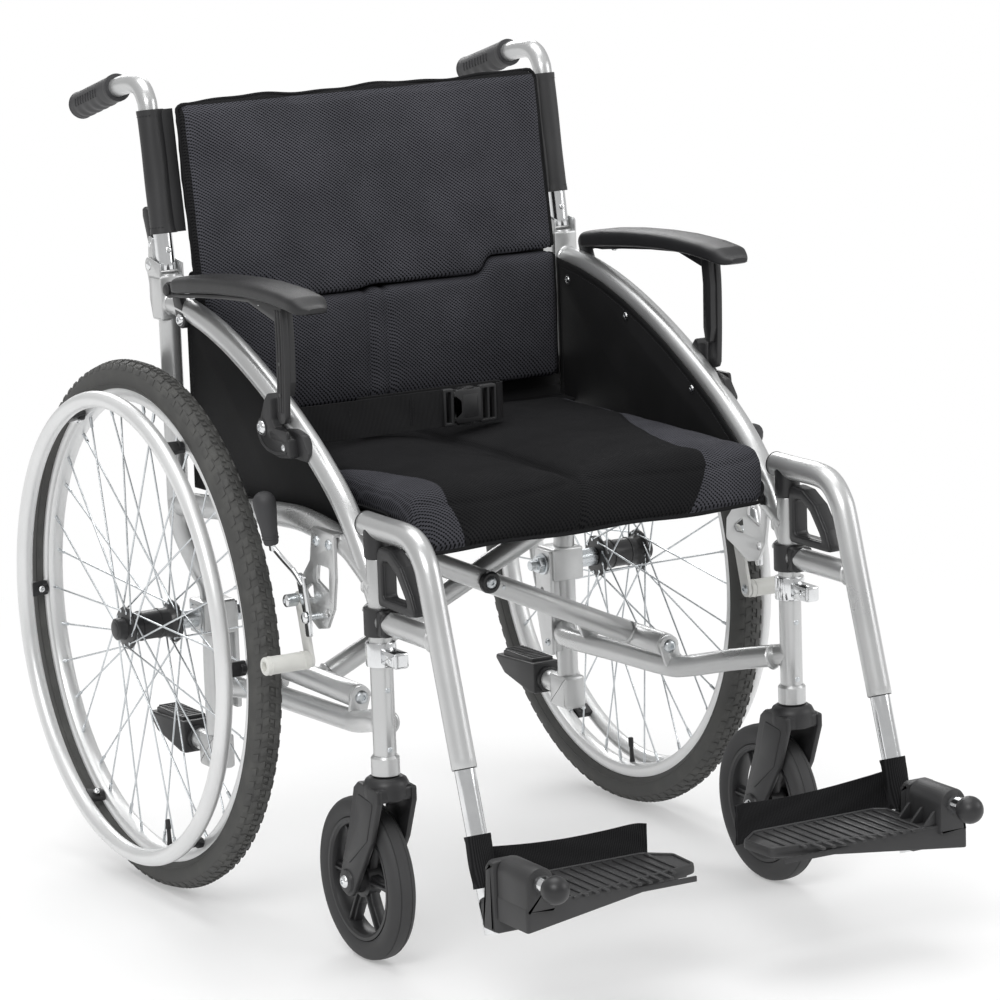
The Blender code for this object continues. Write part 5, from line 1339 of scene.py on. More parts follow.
def armrest_support(side):
    """Carrier under the pad with the rear eye, and the grooved front strut that widens into a foot."""
    piece = Piece(named("armrest_strut", side))
    stations = [-0.038, -0.05, -0.095, -0.16, -0.22, -0.277]
    upper = [(y, level(PAD_UNDER, y) - 0.0004) for y in stations]
    lower = [(y, level(PAD_UNDER, y) - 0.005) for y in reversed(stations[1:-1])]
    eye = [(-0.04, 0.684), *circle_at(ARM, 0.0092, 230, 510, 16), (-0.0322, 0.6868)]
    strut = smooth_path(np.array([(0, -0.298, level(PAD_UNDER, -0.298) - 0.0004), (0, -0.3015, 0.685),
                                  (0, -0.3024, 0.66), (0, -0.3012, 0.62), (0, -0.2995, 0.594),
                                  (0, -0.2985, 0.581)]), 4)[:, 1:]
    foot = [(-0.2955, 0.5755), (-0.291, 0.5738), (-0.287, 0.5738), (-0.282, 0.5755)]
    back = smooth_path(np.array([(0, -0.279, 0.581), (0, -0.2802, 0.6), (0, -0.2815, 0.63),
                                 (0, -0.2828, 0.66), (0, -0.2815, 0.685)]), 4)[:, 1:]
    outline = [*upper, *map(tuple, strut), *foot, *map(tuple, back), *lower, *eye]
    piece.add(at_side(side, outline, STRUT_X - 0.0034, STRUT_X + 0.0034, 0.001), BLACK)
    inner = [(-0.2975, 0.7), (-0.3005, 0.67), (-0.2995, 0.62), (-0.2955, 0.604), (-0.2866, 0.604),
             (-0.2828, 0.62), (-0.2842, 0.67), (-0.2808, 0.7)]
    piece.add(at_side(side, fillet(inner, 0.003, 3), 0.265, STRUT_X, 0.001), BLACK)
    for offset, wide in ((-0.0053, 0.0016), (0.0, 0.0019), (0.0053, 0.0016)):
        spine = smooth_path(np.array([(side * (STRUT_X + 0.0031), -0.2915 + offset * 1.15, 0.697),
                                      (side * (STRUT_X + 0.0031), -0.2925 + offset * 1.15, 0.66),
                                      (side * (STRUT_X + 0.0031), -0.291 + offset, 0.62),
                                      (side * (STRUT_X + 0.0031), -0.2896 + offset * 0.9, 0.588)]), 5)
        piece.add(sweep(spine, wide, 12, 0.0003, ball=(True, True)), BLACK)
    for z, y in ((0.64, -0.2918), (0.606, -0.2903)):
        piece.add(lathe([(0, 0.0026), (0.0008, 0.0024), (0.0009, 0.0008)], (side * (STRUT_X + 0.0042), y, z),
                        (side, 0, 0), 20), SATIN)
    for y in (-0.075, -0.245):
        piece.add(screw_head((side * STRUT_X, y, level(PAD_UNDER, y) - 0.005), (0, 0, -1), 0.0038, 0.0018,
                             False), CHROME)
    piece.done(named("armrest", side), named("armrest_support", side), slot="black_plastic")


def armrest_clamp(side):
    """Moulded bracket that hugs the arm tube, with the strut's pocket, a raised lip and two bolts."""
    piece = Piece(named("armrest_socket", side))
    shell = fillet([(-0.2575, 0.597), (-0.2385, 0.56), (-0.258, 0.541), (-0.29, 0.537),
                    (-0.316, 0.54), (-0.312, 0.56), (-0.28, 0.5695), (-0.2735, 0.577),
                    (-0.2735, 0.6), (-0.266, 0.606)],
                   (0.004, 0.016, 0.01, 0.008, 0.004, 0.004, 0.006, 0.006, 0.003, 0.003), 5)
    piece.add(at_side(side, shell, 0.264, 0.2846, 0.0022), BLACK)
    lip = fillet([(-0.27, 0.569), (-0.309, 0.569), (-0.311, 0.556), (-0.27, 0.556)], 0.004, 4)
    piece.add(at_side(side, lip, STRUT_X + 0.0042, 0.285, 0.0014), BLACK)
    nose = fillet([(-0.285, 0.538), (-0.334, 0.537), (-0.34, 0.546), (-0.325, 0.565),
                   (-0.305, 0.57), (-0.29, 0.569)], (0.004, 0.006, 0.006, 0.008, 0.004, 0.004), 5)
    piece.add(at_side(side, nose, 0.2642, 0.2746, 0.002), BLACK)
    path = [(-0.242, 0.564), (-0.248, 0.552), (-0.26, 0.545), (-0.28, 0.542), (-0.306, 0.545)]
    ridge = smooth_path(np.array([(side * 0.2846, y, z) for y, z in path]), 6)
    piece.add(sweep(ridge, 0.0017, 12, 0.0003, ball=(True, True)), BLACK)
    piece.add(lathe([(0, 0.0106), (0.001, 0.0104), (0.0014, 0.0092)], (side * 0.2842, -0.252, 0.566),
                    (side, 0, 0), 36), BLACK)
    piece.add(screw_head((side * 0.2846, -0.252, 0.566), (side, 0, 0), 0.0082, 0.0044), CHROME)
    piece.add(lathe([(0, 0.0058), (0.0006, 0.0056), (0.0008, 0.0044)], (side * 0.2844, -0.301, 0.55),
                    (side, 0, 0), 28), SATIN)
    piece.add(screw_head((side * 0.2846, -0.301, 0.55), (side, 0, 0), 0.004, 0.0018), CHROME)
    piece.done(named("frame", side), named("armrest_clamp", side), slot="black_plastic")


# ---------------------------------------------------------------- brakes

BRAKE = (joint_at("brake_left").y - SHIFT, joint_at("brake_left").z)
SHOE_PIVOT = (joint_at("brake_shoe_left").y - SHIFT, joint_at("brake_shoe_left").z)
SHOE = (-0.336, 0.322)


def brake_bracket(side):
    piece = Piece(named("brake_bracket_pressed", side))
    outline = fillet([(-0.395, 0.468), (-0.345, 0.47), (-0.338, 0.432), (-0.309, 0.402), (-0.307, 0.378),
                      (-0.325, 0.371), (-0.352, 0.358), (-0.372, 0.362), (-0.388, 0.385), (-0.395, 0.42)],
                     0.005, 4)
    windows = [fillet([(-0.382, 0.43), (-0.356, 0.43), (-0.352, 0.412), (-0.38, 0.402)], 0.003, 3),
               fillet([(-0.343, 0.408), (-0.323, 0.396), (-0.33, 0.39), (-0.345, 0.39)], 0.0025, 3),
               circle_at((-0.376, 0.38), 0.0045, steps=20), circle_at((-0.386, 0.456), 0.003, steps=16)]
    low, high = sorted((side * 0.2735, side * 0.2778))
    piece.add(pierced([outline, *windows], low, high, 0.0007), SILVER)
    flange = fillet([(-0.393, 0.4685), (-0.347, 0.4705), (-0.345, 0.4665), (-0.393, 0.464)], 0.001, 2)
    piece.add(at_side(side, flange, 0.264, 0.2775, 0.0006), SILVER)
    for y, z in ((-0.384, 0.456), (-0.356, 0.456)):
        piece.add(screw_head((side * 0.2777, y, z), (side, 0, 0), 0.0058, 0.0032), ZINC)
    piece.add(cross(side, 0.276, 0.293, BRAKE, 0.004), ZINC)
    piece.add(screw_head((side * 0.2922, *BRAKE), (side, 0, 0), 0.0066, 0.0036, False), CHROME)
    piece.add(cross(side, 0.276, 0.298, SHOE_PIVOT, 0.004), ZINC)
    piece.add(lathe([(0, 0.0062), (0.0006, 0.007), (0.012, 0.007), (0.0126, 0.0062)],
                    (side * 0.2852, *SHOE_PIVOT), (side, 0, 0), 28), ZINC)
    piece.add(screw_head((side * 0.2976, *SHOE_PIVOT), (side, 0, 0), 0.007, 0.0028), CHROME)
    link = fillet([(-0.348, 0.364), (-0.316, 0.38), (-0.318, 0.387), (-0.352, 0.37)], 0.002, 3)
    piece.add(at_side(side, link, 0.2846, 0.2862, 0.0004), PALE)
    piece.done(named("frame", side), named("brake_bracket", side), slot="silver_paint")


def brake_lever(side):
    """Bent strip that climbs from the pivot to a bullet-shaped grip."""
    piece = Piece(named("brake_lever_plated", side))
    strip = fillet([(-0.358, 0.352), (-0.346, 0.35), (-0.344, 0.372), (-0.33, 0.408), (-0.334, 0.42),
                    (-0.346, 0.416), (-0.356, 0.38)], 0.004, 4)
    piece.add(at_side(side, strip, 0.2872, 0.2908, 0.0006), CHROME)
    path = smooth_path([(side * 0.289, -0.3395, 0.406), (side * 0.293, -0.33, 0.419),
                        (side * 0.3, -0.312, 0.435), (side * 0.305, -0.303, 0.447),
                        (side * 0.306, -0.3018, 0.46)], 6)
    flat = np.array([(0.0058 * math.copysign(abs(math.cos(a)) ** 0.6, math.cos(a)),
                      0.0021 * math.copysign(abs(math.sin(a)) ** 0.6, math.sin(a)))
                     for a in np.arange(20) * math.pi / 10])
    piece.add(sweep(path, 1.0, edge=0.02, up=(0, 1, 0.3), section=flat), CHROME)
    low, high = np.array((side * 0.3045, -0.3015, 0.447)), np.array((side * 0.3132, -0.3062, 0.494))
    way = unit(high - low)
    profile = [(0.0, 0.0052), (0.0006, 0.0076), (0.003, 0.0084), (0.018, 0.0094), (0.032, 0.0112),
               (0.042, 0.0124), (0.048, 0.0127), (0.053, 0.0119), (0.057, 0.0098), (0.0595, 0.0066),
               (0.0604, 0.002)]
    piece.add(lathe(profile, low, way, 40), GRIP)
    for s in (0.006, 0.01, 0.014):
        piece.add(lathe([(s, 0.0082), (s + 0.0005, 0.0092), (s + 0.0015, 0.0093), (s + 0.002, 0.0084)], low,
                        way, 36), GRIP)
    piece.done(named("brake", side), named("brake_lever", side), slot="chrome")


def brake_shoe(side):
    piece = Piece(named("brake_shoe_arm", side))
    arm = np.array(circle_at(SHOE_PIVOT, 0.009, 0, 180, 14) + circle_at(SHOE, 0.009, 180, 360, 14))
    piece.add(at_side(side, arm, 0.2793, 0.2836, 0.0006), PALE)
    profile = [(0.0, 0.0094), (0.0008, 0.01), (0.0524, 0.01), (0.0534, 0.0092), (0.0534, 0.0056),
               (0.046, 0.0052), (0.0459, 0.001)]
    piece.add(lathe(profile, (side * 0.2836, *SHOE), (side, 0, 0), 40), CREAM)
    for s in (0.006, 0.046):
        piece.add(lathe([(s, 0.0098), (s + 0.0004, 0.0105), (s + 0.0016, 0.0105), (s + 0.002, 0.0098)],
                        (side * 0.2836, *SHOE), (side, 0, 0), 40), CREAM)
    piece.add(screw_head((side * 0.2793, *SHOE), (-side, 0, 0), 0.0056, 0.0026), ZINC)
    piece.done(named("shoe", side), named("brake_shoe", side), slot="cream_plastic")


# ---------------------------------------------------------------- upholstery

SEAT_LOW, SEAT_HIGH = (Vector(p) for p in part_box("seat_cushion"))
SEAT_HALF, SEAT_TOP = SEAT_HIGH.x, SEAT_HIGH.z
SEAT_FRONT, SEAT_BACK = SEAT_LOW.y - SHIFT, SEAT_HIGH.y - SHIFT
SEAT_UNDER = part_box("seat_sling")[1].z + 0.0004
LIP_LOW = SEAT_LOW.z
BACK_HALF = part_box("back_cushion_upper")[1].x + 0.007
BACK_KNEE = 0.6745  # height where the back turns from upright to leaning
SEAT_MID = -0.022  # the cushion's centre seam runs beside the middle of the seat
BACK_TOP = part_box("back_cushion_upper")[1].z
BACK_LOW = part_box("back_cushion_lower")[0].z
MESH_GREY, MESH_BLACK = (0.07, 0.0705, 0.081), (0.0175, 0.0175, 0.0183)


def seat_panel_edge(y):
    """Half width of the seat's black centre panel at depth y."""
    t = np.clip((y - SEAT_FRONT) / 0.3, 0, 1)
    return 0.15 + 0.08 * t ** 1.7 + 0.012 * np.exp(-((t - 0.05) / 0.1) ** 2)


def seat_colours(look, axis):
    """Share of charcoal: 1 outside the curved seam on each side of the seat."""
    y = look.calc("SUBTRACT", axis[1], SEAT_FRONT + SHIFT)
    t = look.calc("MINIMUM", look.calc("MAXIMUM", look.calc("DIVIDE", y, 0.3), 0.0), 1.0)
    edge = look.calc("MULTIPLY_ADD", look.calc("POWER", t, 1.7), 0.08, 0.15)
    dip = look.calc("DIVIDE", look.calc("SUBTRACT", t, 0.05), 0.1)
    dip = look.calc("EXPONENT", look.calc("MULTIPLY", look.calc("MULTIPLY", dip, dip), -1.0))
    edge = look.calc("MULTIPLY_ADD", dip, 0.012, edge)
    below = look.calc("SUBTRACT", 0.505, axis[2])
    edge = look.calc("MULTIPLY_ADD", look.calc("MAXIMUM", below, 0.0), -0.42, edge)
    away = look.calc("ABSOLUTE", look.calc("SUBTRACT", axis[0], SEAT_MID))
    return look.span(look.calc("SUBTRACT", away, edge), -0.0006, 0.0006)


def back_colours(look, axis):
    """Share of black: 1 on the sides, in a band along the top edge and everything behind the mesh panel."""
    side = look.span(look.calc("ABSOLUTE", axis[0]), BACK_HALF - 0.0095, BACK_HALF - 0.0085)
    # black in a band along the top edge
    top = look.span(axis[2], BACK_TOP - 0.0085, BACK_TOP - 0.0075)
    depth = look.calc("SUBTRACT", axis[1], look.calc("MULTIPLY_ADD", look.calc(
        "MAXIMUM", look.calc("SUBTRACT", axis[2], BACK_KNEE), 0.0), 0.15, SHIFT - 0.001))
    behind = look.span(depth, 0.004, 0.005)
    return look.calc("MAXIMUM", look.calc("MAXIMUM", side, top), behind)


SEAT_MESH = spacer_mesh("seat_spacer_mesh", MESH_BLACK, MESH_GREY, seat_colours)
BACK_MESH = spacer_mesh("back_spacer_mesh", MESH_GREY, MESH_BLACK, back_colours)


def step(value, low, high):
    t = np.clip((value - low) / (high - low), 0, 1)
    return t * t * (3 - 2 * t)


def grid_solid(name, front, back, across=60, up=60):
    """A closed sheet between two surfaces over the same (u, v) grid, joined round its border."""
    u, v = np.meshgrid(np.linspace(-1, 1, across), np.linspace(0, 1, up))
    a, b = front(u, v), back(u, v)
    index = np.arange(across * up).reshape(up, across)
    faces = []
    for sheet, flip in ((index, False), (index + across * up, True)):
        quads = np.stack([sheet[:-1, :-1], sheet[:-1, 1:], sheet[1:, 1:], sheet[1:, :-1]], -1).reshape(-1, 4)
        faces += [tuple(q[::-1] if flip else q) for q in quads.tolist()]
    border = [*index[0, :], *index[1:, -1], *index[-1, -2::-1], *index[-2:0:-1, 0]]
    offset = across * up
    for p, q in zip(border, border[1:] + border[:1]):
        faces.append((int(p), int(p + offset), int(q + offset), int(q)))
    piece = Piece(name)
    piece.add((np.concatenate([a.reshape(-1, 3), b.reshape(-1, 3)]), faces), GUARD)
    made = bpy.data.objects.new(name, piece.mesh())
    bpy.context.scene.collection.objects.link(made)
    return made


def baked(obj):
    """Replaces an object's mesh by its evaluated one and drops its modifiers."""
    graph = bpy.context.evaluated_depsgraph_get()
    mesh = bpy.data.meshes.new_from_object(obj.evaluated_get(graph))
    obj.modifiers.clear()
    obj.data = mesh
    return mesh


def points_of(mesh):
    co = np.empty(len(mesh.vertices) * 3)
    mesh.vertices.foreach_get("co", co)
    return co.reshape(-1, 3)


def set_points(mesh, co):
    mesh.vertices.foreach_set("co", co.ravel())
    mesh.update()


def inflate(obj, pinned, pressure, cap, voxel=0.005, frames_run=20):
    """Remeshes a padded piece, swells it as cloth under pressure between its pinned seams, and
    rounds it with one subdivision. pinned gives a weight for each point."""
    remesh = obj.modifiers.new("remesh", "REMESH")
    remesh.mode, remesh.voxel_size = "VOXEL", voxel
    smooth = obj.modifiers.new("smooth", "SMOOTH")
    smooth.factor, smooth.iterations = 0.5, 3
    mesh = baked(obj)
    rest = points_of(mesh)
    group = obj.vertex_groups.new(name="seams")
    weights = pinned(rest - np.array((0, SHIFT, 0)))
    for level_of in np.unique(np.round(weights, 1)):
        if level_of > 0:
            group.add(np.nonzero(np.round(weights, 1) == level_of)[0].tolist(), float(level_of),
                      "REPLACE")
    cloth = obj.modifiers.new("cloth", "CLOTH")
    s = cloth.settings
    s.quality, s.mass, s.air_damping = 5, 0.35, 2.0
    s.tension_stiffness, s.compression_stiffness, s.shear_stiffness, s.bending_stiffness = 12, 8, 6, 0.4
    s.use_pressure, s.uniform_pressure_force = True, pressure
    s.vertex_group_mass = "seams"
    s.effector_weights.gravity = 0.0
    cloth.collision_settings.use_collision = False
    cloth.point_cache.frame_start, cloth.point_cache.frame_end = 1, frames_run
    for number in range(1, frames_run + 1):
        bpy.context.scene.frame_set(number)
    swollen = points_of(obj.evaluated_get(bpy.context.evaluated_depsgraph_get()).data)
    obj.modifiers.clear()
    bpy.context.scene.frame_set(1)
    move = swollen - rest
    length = np.linalg.norm(move, axis=1)[:, None]
    set_points(mesh, rest + move * np.minimum(1.0, cap / np.maximum(length, 1e-9)))
    obj.vertex_groups.clear()
    finer = obj.modifiers.new("finer", "SUBSURF")
    finer.levels = finer.render_levels = 1
    return baked(obj)


def pressed(mesh, depth_at):
    """Moves points against their normals by depth_at(points)."""
    co = points_of(mesh)
    normals = np.empty(len(co) * 3)
    mesh.vertex_normals.foreach_get("vector", normals)
    depth = depth_at(co - np.array((0, SHIFT, 0)))
    set_points(mesh, co - normals.reshape(-1, 3) * depth[:, None])
    mesh.shade_smooth()


def valley(distance, width, depth):
    return depth * np.exp(-(distance / width) ** 2)


def seat_edge(x):
    """Front edge of the seat with its rounded corners."""
    corner = 0.034
    over = np.clip((np.abs(x) - (SEAT_HALF - 0.002 - corner)) / corner, 0, 1)
    return SEAT_FRONT + 0.004 + corner * (1 - np.sqrt(np.maximum(0.0, 1 - over ** 2)))


def seat_height(x, y):
    """Crown of the two thigh bulges, with the pommel seam between them."""
    t = (y - SEAT_FRONT) / (SEAT_BACK - SEAT_FRONT)
    bulge = np.cos(np.clip((np.abs(x - SEAT_MID) - 0.105) / 0.145, -1, 1) * math.pi / 2) ** 0.7
    crown = 0.0085 * bulge * (0.72 + 0.28 * np.cos((t - 0.22) * math.pi * 1.1))
    seam = valley(x - SEAT_MID + 0.01 * np.sin(t * 3.0), 0.014, 0.0115) * np.clip(1.15 - t * 0.75, 0.2, 1)
    return SEAT_TOP - 0.0105 + crown - seam


def seat_cushion():
    half = SEAT_HALF - 0.003

    def plan(u, v):
        x = half * u
        start = seat_edge(x)
        return x, start + (SEAT_BACK - 0.003 - start) * v ** 1.3

    def rounding(x, y):
        near = np.minimum((half - np.abs(x)) / 0.02, (y - seat_edge(x)) / 0.024)
        near = np.clip(np.minimum(near, (SEAT_BACK - 0.003 - y) / 0.02), 0, 1)
        return np.sqrt(np.maximum(0.0, 1 - (1 - near) ** 2))

    def mid(y):
        return 0.5 * (SEAT_UNDER + SEAT_TOP) - 0.014 * (1 - step(y, SEAT_FRONT + 0.02, SEAT_FRONT + 0.07))

    def over(u, v):
        x, y = plan(u, v)
        return np.stack([x, y, mid(y) + (seat_height(x, y) - mid(y)) * rounding(x, y)], -1)

    def under(u, v):
        x, y = plan(u, v)
        lip = 1 - step(y, -0.452, -0.4455)
        floor = (SEAT_UNDER + 0.0012) * (1 - lip) + (LIP_LOW + 0.003) * lip
        return np.stack([x, y, mid(y) + (floor - mid(y)) * rounding(x, y) ** 0.5], -1)

    made = grid_solid("seat_cushion_sewn", over, under, 110, 110)

    def pinned(p):
        x, y, z = p.T
        low = 1 - step(z, SEAT_UNDER + 0.004, SEAT_UNDER + 0.012)
        low = np.where(y < -0.45, 1 - step(z, LIP_LOW + 0.006, LIP_LOW + 0.014), low)
        edge = np.maximum(step(np.abs(x), half - 0.01, half - 0.004), step(y, SEAT_BACK - 0.016,
                                                                           SEAT_BACK - 0.006))
        top = z > 0.49
        seam = np.exp(-((x - SEAT_MID) / 0.012) ** 2) * top
        panel = np.exp(-((np.abs(x - SEAT_MID) - seat_panel_edge(y)) / 0.006) ** 2) * top
        return np.clip(np.maximum.reduce([low, edge, seam, panel * 0.8]), 0, 1)

    mesh = inflate(made, pinned, 3.4, 0.0045)

    def grooves(p):
        x, y, z = p.T
        top = step(z, SEAT_UNDER + 0.004, SEAT_UNDER + 0.012)
        front = 1 - step(y, -0.474, -0.462)
        edge = seat_panel_edge(y) - 0.42 * np.maximum(0.505 - z, 0)
        panel = valley(np.abs(x - SEAT_MID) - edge, 0.0032, 0.0016) * np.maximum(top, front)
        rim = valley(z - (0.5045 + 0.003 * np.cos(x * 24)), 0.0034,
                     0.0017) * front * (np.abs(x - SEAT_MID) > 0.012)
        pommel = valley(x - SEAT_MID, 0.004, 0.003) * np.maximum(top, front)
        waves = 0.0006 * np.sin(x * 61 + np.sin(y * 37) * 2.2) * np.sin(y * 43 + x * 21)
        return panel + rim + pommel + waves

    pressed(mesh, grooves)
    co = points_of(mesh)
    co[:, 2] = np.minimum(co[:, 2], SEAT_TOP + 0.0016)
    rear = co[:, 1] - SHIFT > -0.4455
    co[rear, 2] = np.maximum(co[rear, 2], SEAT_UNDER + 0.0003)
    set_points(mesh, co)
    finish_soft(made, SEAT_MESH)
    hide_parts("seat_cushion")
    return made


def finish_soft(obj, *looks):
    obj.data.materials.clear()
    for look in looks:
        obj.data.materials.append(look)
    obj.data.polygons.foreach_set("material_index", [0] * len(obj.data.polygons))
    obj.data.shade_smooth()


def cord(path, radius, look, name, loop=False, sides=10):
    """Piping: a thin round cord along a path."""
    path = np.asarray(path, float)
    piece = Piece(name)
    if loop:
        piece.add(skin([p + radius * (circle(sides)[:, :1] * f[1] + circle(sides)[:, 1:] * f[2])
                        for p, f in zip(path, frames(path))], loop=True), look)
    else:
        piece.add(sweep(path, radius, sides, 0.0003, ball=(True, True)), look)
    return piece


def seat_trim():
    """Piping along the seat's sides and round its front, low on the lip."""
    half = SEAT_HALF - 0.0022
    xs = np.concatenate([np.linspace(-half, -half + 0.034, 16), np.linspace(-half + 0.04, half - 0.04, 26),
                         np.linspace(half - 0.034, half, 16)])
    front = [(x, float(seat_edge(x)) + 0.0005, LIP_LOW + 0.0085 + 0.0012 * math.sin(x * 40)) for x in xs]
    side_z = SEAT_UNDER + 0.012
    left = [(s * half, y, side_z - (side_z - LIP_LOW - 0.0085) * float(1 - step(y, -0.455, -0.415)))
            for s, y in [(1, v) for v in np.linspace(-0.448, SEAT_BACK - 0.01, 30)]]
    right = [(-x, y, z) for x, y, z in left[::-1]]
    return cord(smooth_path(right + front + left, 2), 0.0021, PIPING, "seat_piping")


def seat_sling():
    """Nylon sling between the seat rails, with its rolled hems."""
    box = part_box("seat_sling")
    half, back, front = box[1].x, box[1].y - SHIFT, box[0].y - SHIFT
    u = np.linspace(-half, half, 46)
    piece = Piece("seat_sling_sewn")
    top, low = box[1].z, box[0].z
    rings = []
    for x in u:
        dip = 0.0006 * math.sin(x * 90)
        rings.append(np.array([(x, y, z + dip * (z < top - 0.001))
                               for y, z in fillet([(front, low), (back, low), (back, top), (front, top)],
                                                  0.0012, 3)]))
    piece.add(skin(rings), GUARD)
    for y in (front + 0.006, back - 0.006):
        piece.add(stitches([(x, y, low - 0.0001) for x in u], 0.006, 0.0036, 0.0004), THREAD)
    piece.done(None, "seat_sling", slot="black_nylon")
    return bpy.data.objects["seat_sling_sewn"]


def split_height(x):
    """Height of the stepped channel between the two halves of the back cushion."""
    return 0.665 + 0.0185 * step(np.abs(x), 0.127, 0.147) - 0.003 * (1 - step(x, -0.034, -0.012)) \
        * (1 - step(np.abs(x), 0.11, 0.127))


def pillow(name, low_at, high_at, front_at, back_at, radius, half):
    """A padded panel with rolled edges between two height lines and two depth lines."""
    def at(u, v, sign):
        x = half * u
        low, high = low_at(x), high_at(x)
        z = low + (high - low) * v
        near = np.minimum((half - np.abs(x)) / radius, np.minimum(z - low, high - z) / radius)
        roll = np.sqrt(np.maximum(0.0, 1 - (1 - np.clip(near, 0, 1)) ** 2))
        front, back = front_at(x, z), back_at(x, z)
        middle, thick = (front + back) / 2, (back - front) / 2
        return np.stack([x, middle + sign * thick * (0.42 + 0.58 * roll), z], -1)
    return grid_solid(name, lambda u, v: at(u, v, -1), lambda u, v: at(u, v, 1), 110, 90)


def back_cushions():
    half = BACK_HALF - 0.003

    def upper_front(x, z):
        return -0.016 + (z - BACK_KNEE) * 0.141 + 0.0035 * (np.abs(x) / half) ** 2

    def upper_back(x, z):
        return 0.011 + (z - BACK_KNEE) * 0.158

    def lower_front(x, z):
        lumbar = 0.0028 * np.cos((z - 0.61) / 0.09 * math.pi / 2)
        return -0.0205 + (z - 0.53) * 0.02 - lumbar + 0.0035 * (np.abs(x) / half) ** 2

    def wavy_top(x):
        return BACK_TOP - 0.005 + 0.0016 * np.sin(x * 38 + 0.6) + 0.0008 * np.sin(x * 91)

    upper = pillow("back_cushion_top_half", lambda x: split_height(x) + 0.0006, wavy_top, upper_front,
                   upper_back, 0.017, half)
    lower = pillow("back_cushion_lumbar_half", lambda x: BACK_LOW + 0.003 + 0 * x,
                   lambda x: split_height(x) - 0.0006, lower_front, lambda x, z: 0.015 + 0 * z, 0.017, half)

    def pinned(low_at, high_at, seams):
        def weigh(p):
            x, y, z = p.T
            border = np.maximum(step(np.abs(x), half - 0.014, half - 0.006),
                                np.maximum(1 - step(z - low_at(x), 0.005, 0.014),
                                           1 - step(high_at(x) - z, 0.005, 0.014)))
            sewn = sum((np.exp(-((x - s) / 0.006) ** 2) for s in seams), np.zeros(len(x)))
            rear = step(y - np.where(z > BACK_KNEE, 0.011 + (z - BACK_KNEE) * 0.158, 0.015), -0.006, -0.002)
            return np.clip(np.maximum.reduce([border, sewn, rear]), 0, 1)
        return weigh

    seams = (-0.023, 0.001)
    mesh = inflate(upper, pinned(split_height, wavy_top, ()), 3.6, 0.005)

    def upper_press(p):
        x, y, z = p.T
        hem = valley(z - (wavy_top(x) - 0.0055), 0.0026, 0.0011) + valley(np.abs(x) - (half - 0.0065),
                                                                          0.0026, 0.0013)
        waves = 0.0007 * np.sin(x * 33 + z * 12) * np.sin(z * 29 + 1.0) + 0.0005 * np.sin(x * 77 + z * 51)
        faint = valley(x - 0.02, 0.006, 0.0005) * (z > 0.69)
        return (hem + waves + faint) * (y < upper_back(x, z) - 0.006)
    pressed(mesh, upper_press)
    mesh = inflate(lower, pinned(lambda x: BACK_LOW + 0 * x, split_height, seams), 3.6, 0.0045)

    def lower_press(p):
        x, y, z = p.T
        sewn = sum(valley(x - s, 0.005, 0.0032) for s in seams)
        hem = valley(np.abs(x) - (half - 0.0065), 0.0026, 0.0013)
        waves = 0.0006 * np.sin(x * 41 + z * 17) * np.sin(z * 47)
        return (sewn + hem + waves) * (y < 0.008)
    pressed(mesh, lower_press)
    for obj, node in ((upper, "back_cushion_upper"), (lower, "back_cushion_lower")):
        finish_soft(obj, BACK_MESH)
        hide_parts(node)
    return upper, lower


def back_trim():
    """Cords on the back cushion's border, in an upper and a lower piece."""
    half = BACK_HALF - 0.0034
    slant = 0.1475
    rows = []
    top = BACK_TOP - 0.0052
    zs = np.linspace(0.69, top - 0.006, 30)
    side = [(half, -0.0035 + (z - BACK_KNEE) * slant + 0.0005, z) for z in zs]
    over = [(x, -0.0035 + (top - BACK_KNEE) * slant, top + 0.0016 * math.sin(x * 38 + 0.6)
             + 0.0008 * math.sin(x * 91) + 0.0004) for x in np.linspace(half - 0.006, -half + 0.006, 50)]
    rows = side + over + [(-x, y, z) for x, y, z in side[::-1]]
    upper = cord(smooth_path(rows, 2), 0.0022, PIPING, "back_piping_upper")
    lower = Piece("back_piping_lower")
    for s in SIDES:
        path = [(s * half, -0.003, z) for z in np.linspace(BACK_LOW + 0.006, 0.676, 24)]
        lower.add(sweep(np.array(path), 0.0022, 10, 0.0003, ball=(True, True)), PIPING)
    return upper, lower


def back_flap():
    """Sheet behind the lower back cushion that covers the channel from the rear, with a stitched hem."""
    piece = Piece("back_rear_sheet")
    half, low, high = BACK_HALF - 0.004, BACK_LOW + 0.006, 0.702
    rows = fillet([(-half, low), (half, low), (half, high), (-half, high)], 0.006, 4)
    piece.add(prism(rows, 0.0186, 0.0198, 0.0004, xz_y), GUARD)
    apron = fillet([(0.014, 0.552), (0.0192, 0.552), (0.0192, 0.514), (0.008, 0.503), (-0.0286, 0.503),
                    (-0.0286, 0.507), (0.004, 0.508), (0.014, 0.518)], 0.0014, 3)
    piece.add(prism(apron, -half - 0.014, half + 0.014, 0.0004, yz_x), GUARD)
    for z in (high - 0.006, low + 0.006):
        piece.add(stitches([(x, 0.01985, z) for x in np.linspace(-half + 0.008, half - 0.008, 40)],
                           0.006, 0.0036, 0.0004), THREAD)
    return piece.done("frame_right", slot="black_nylon")


BELT_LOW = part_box("belt_right")[0].z
BELT_HALF = (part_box("belt_right")[1].z - BELT_LOW) / 2


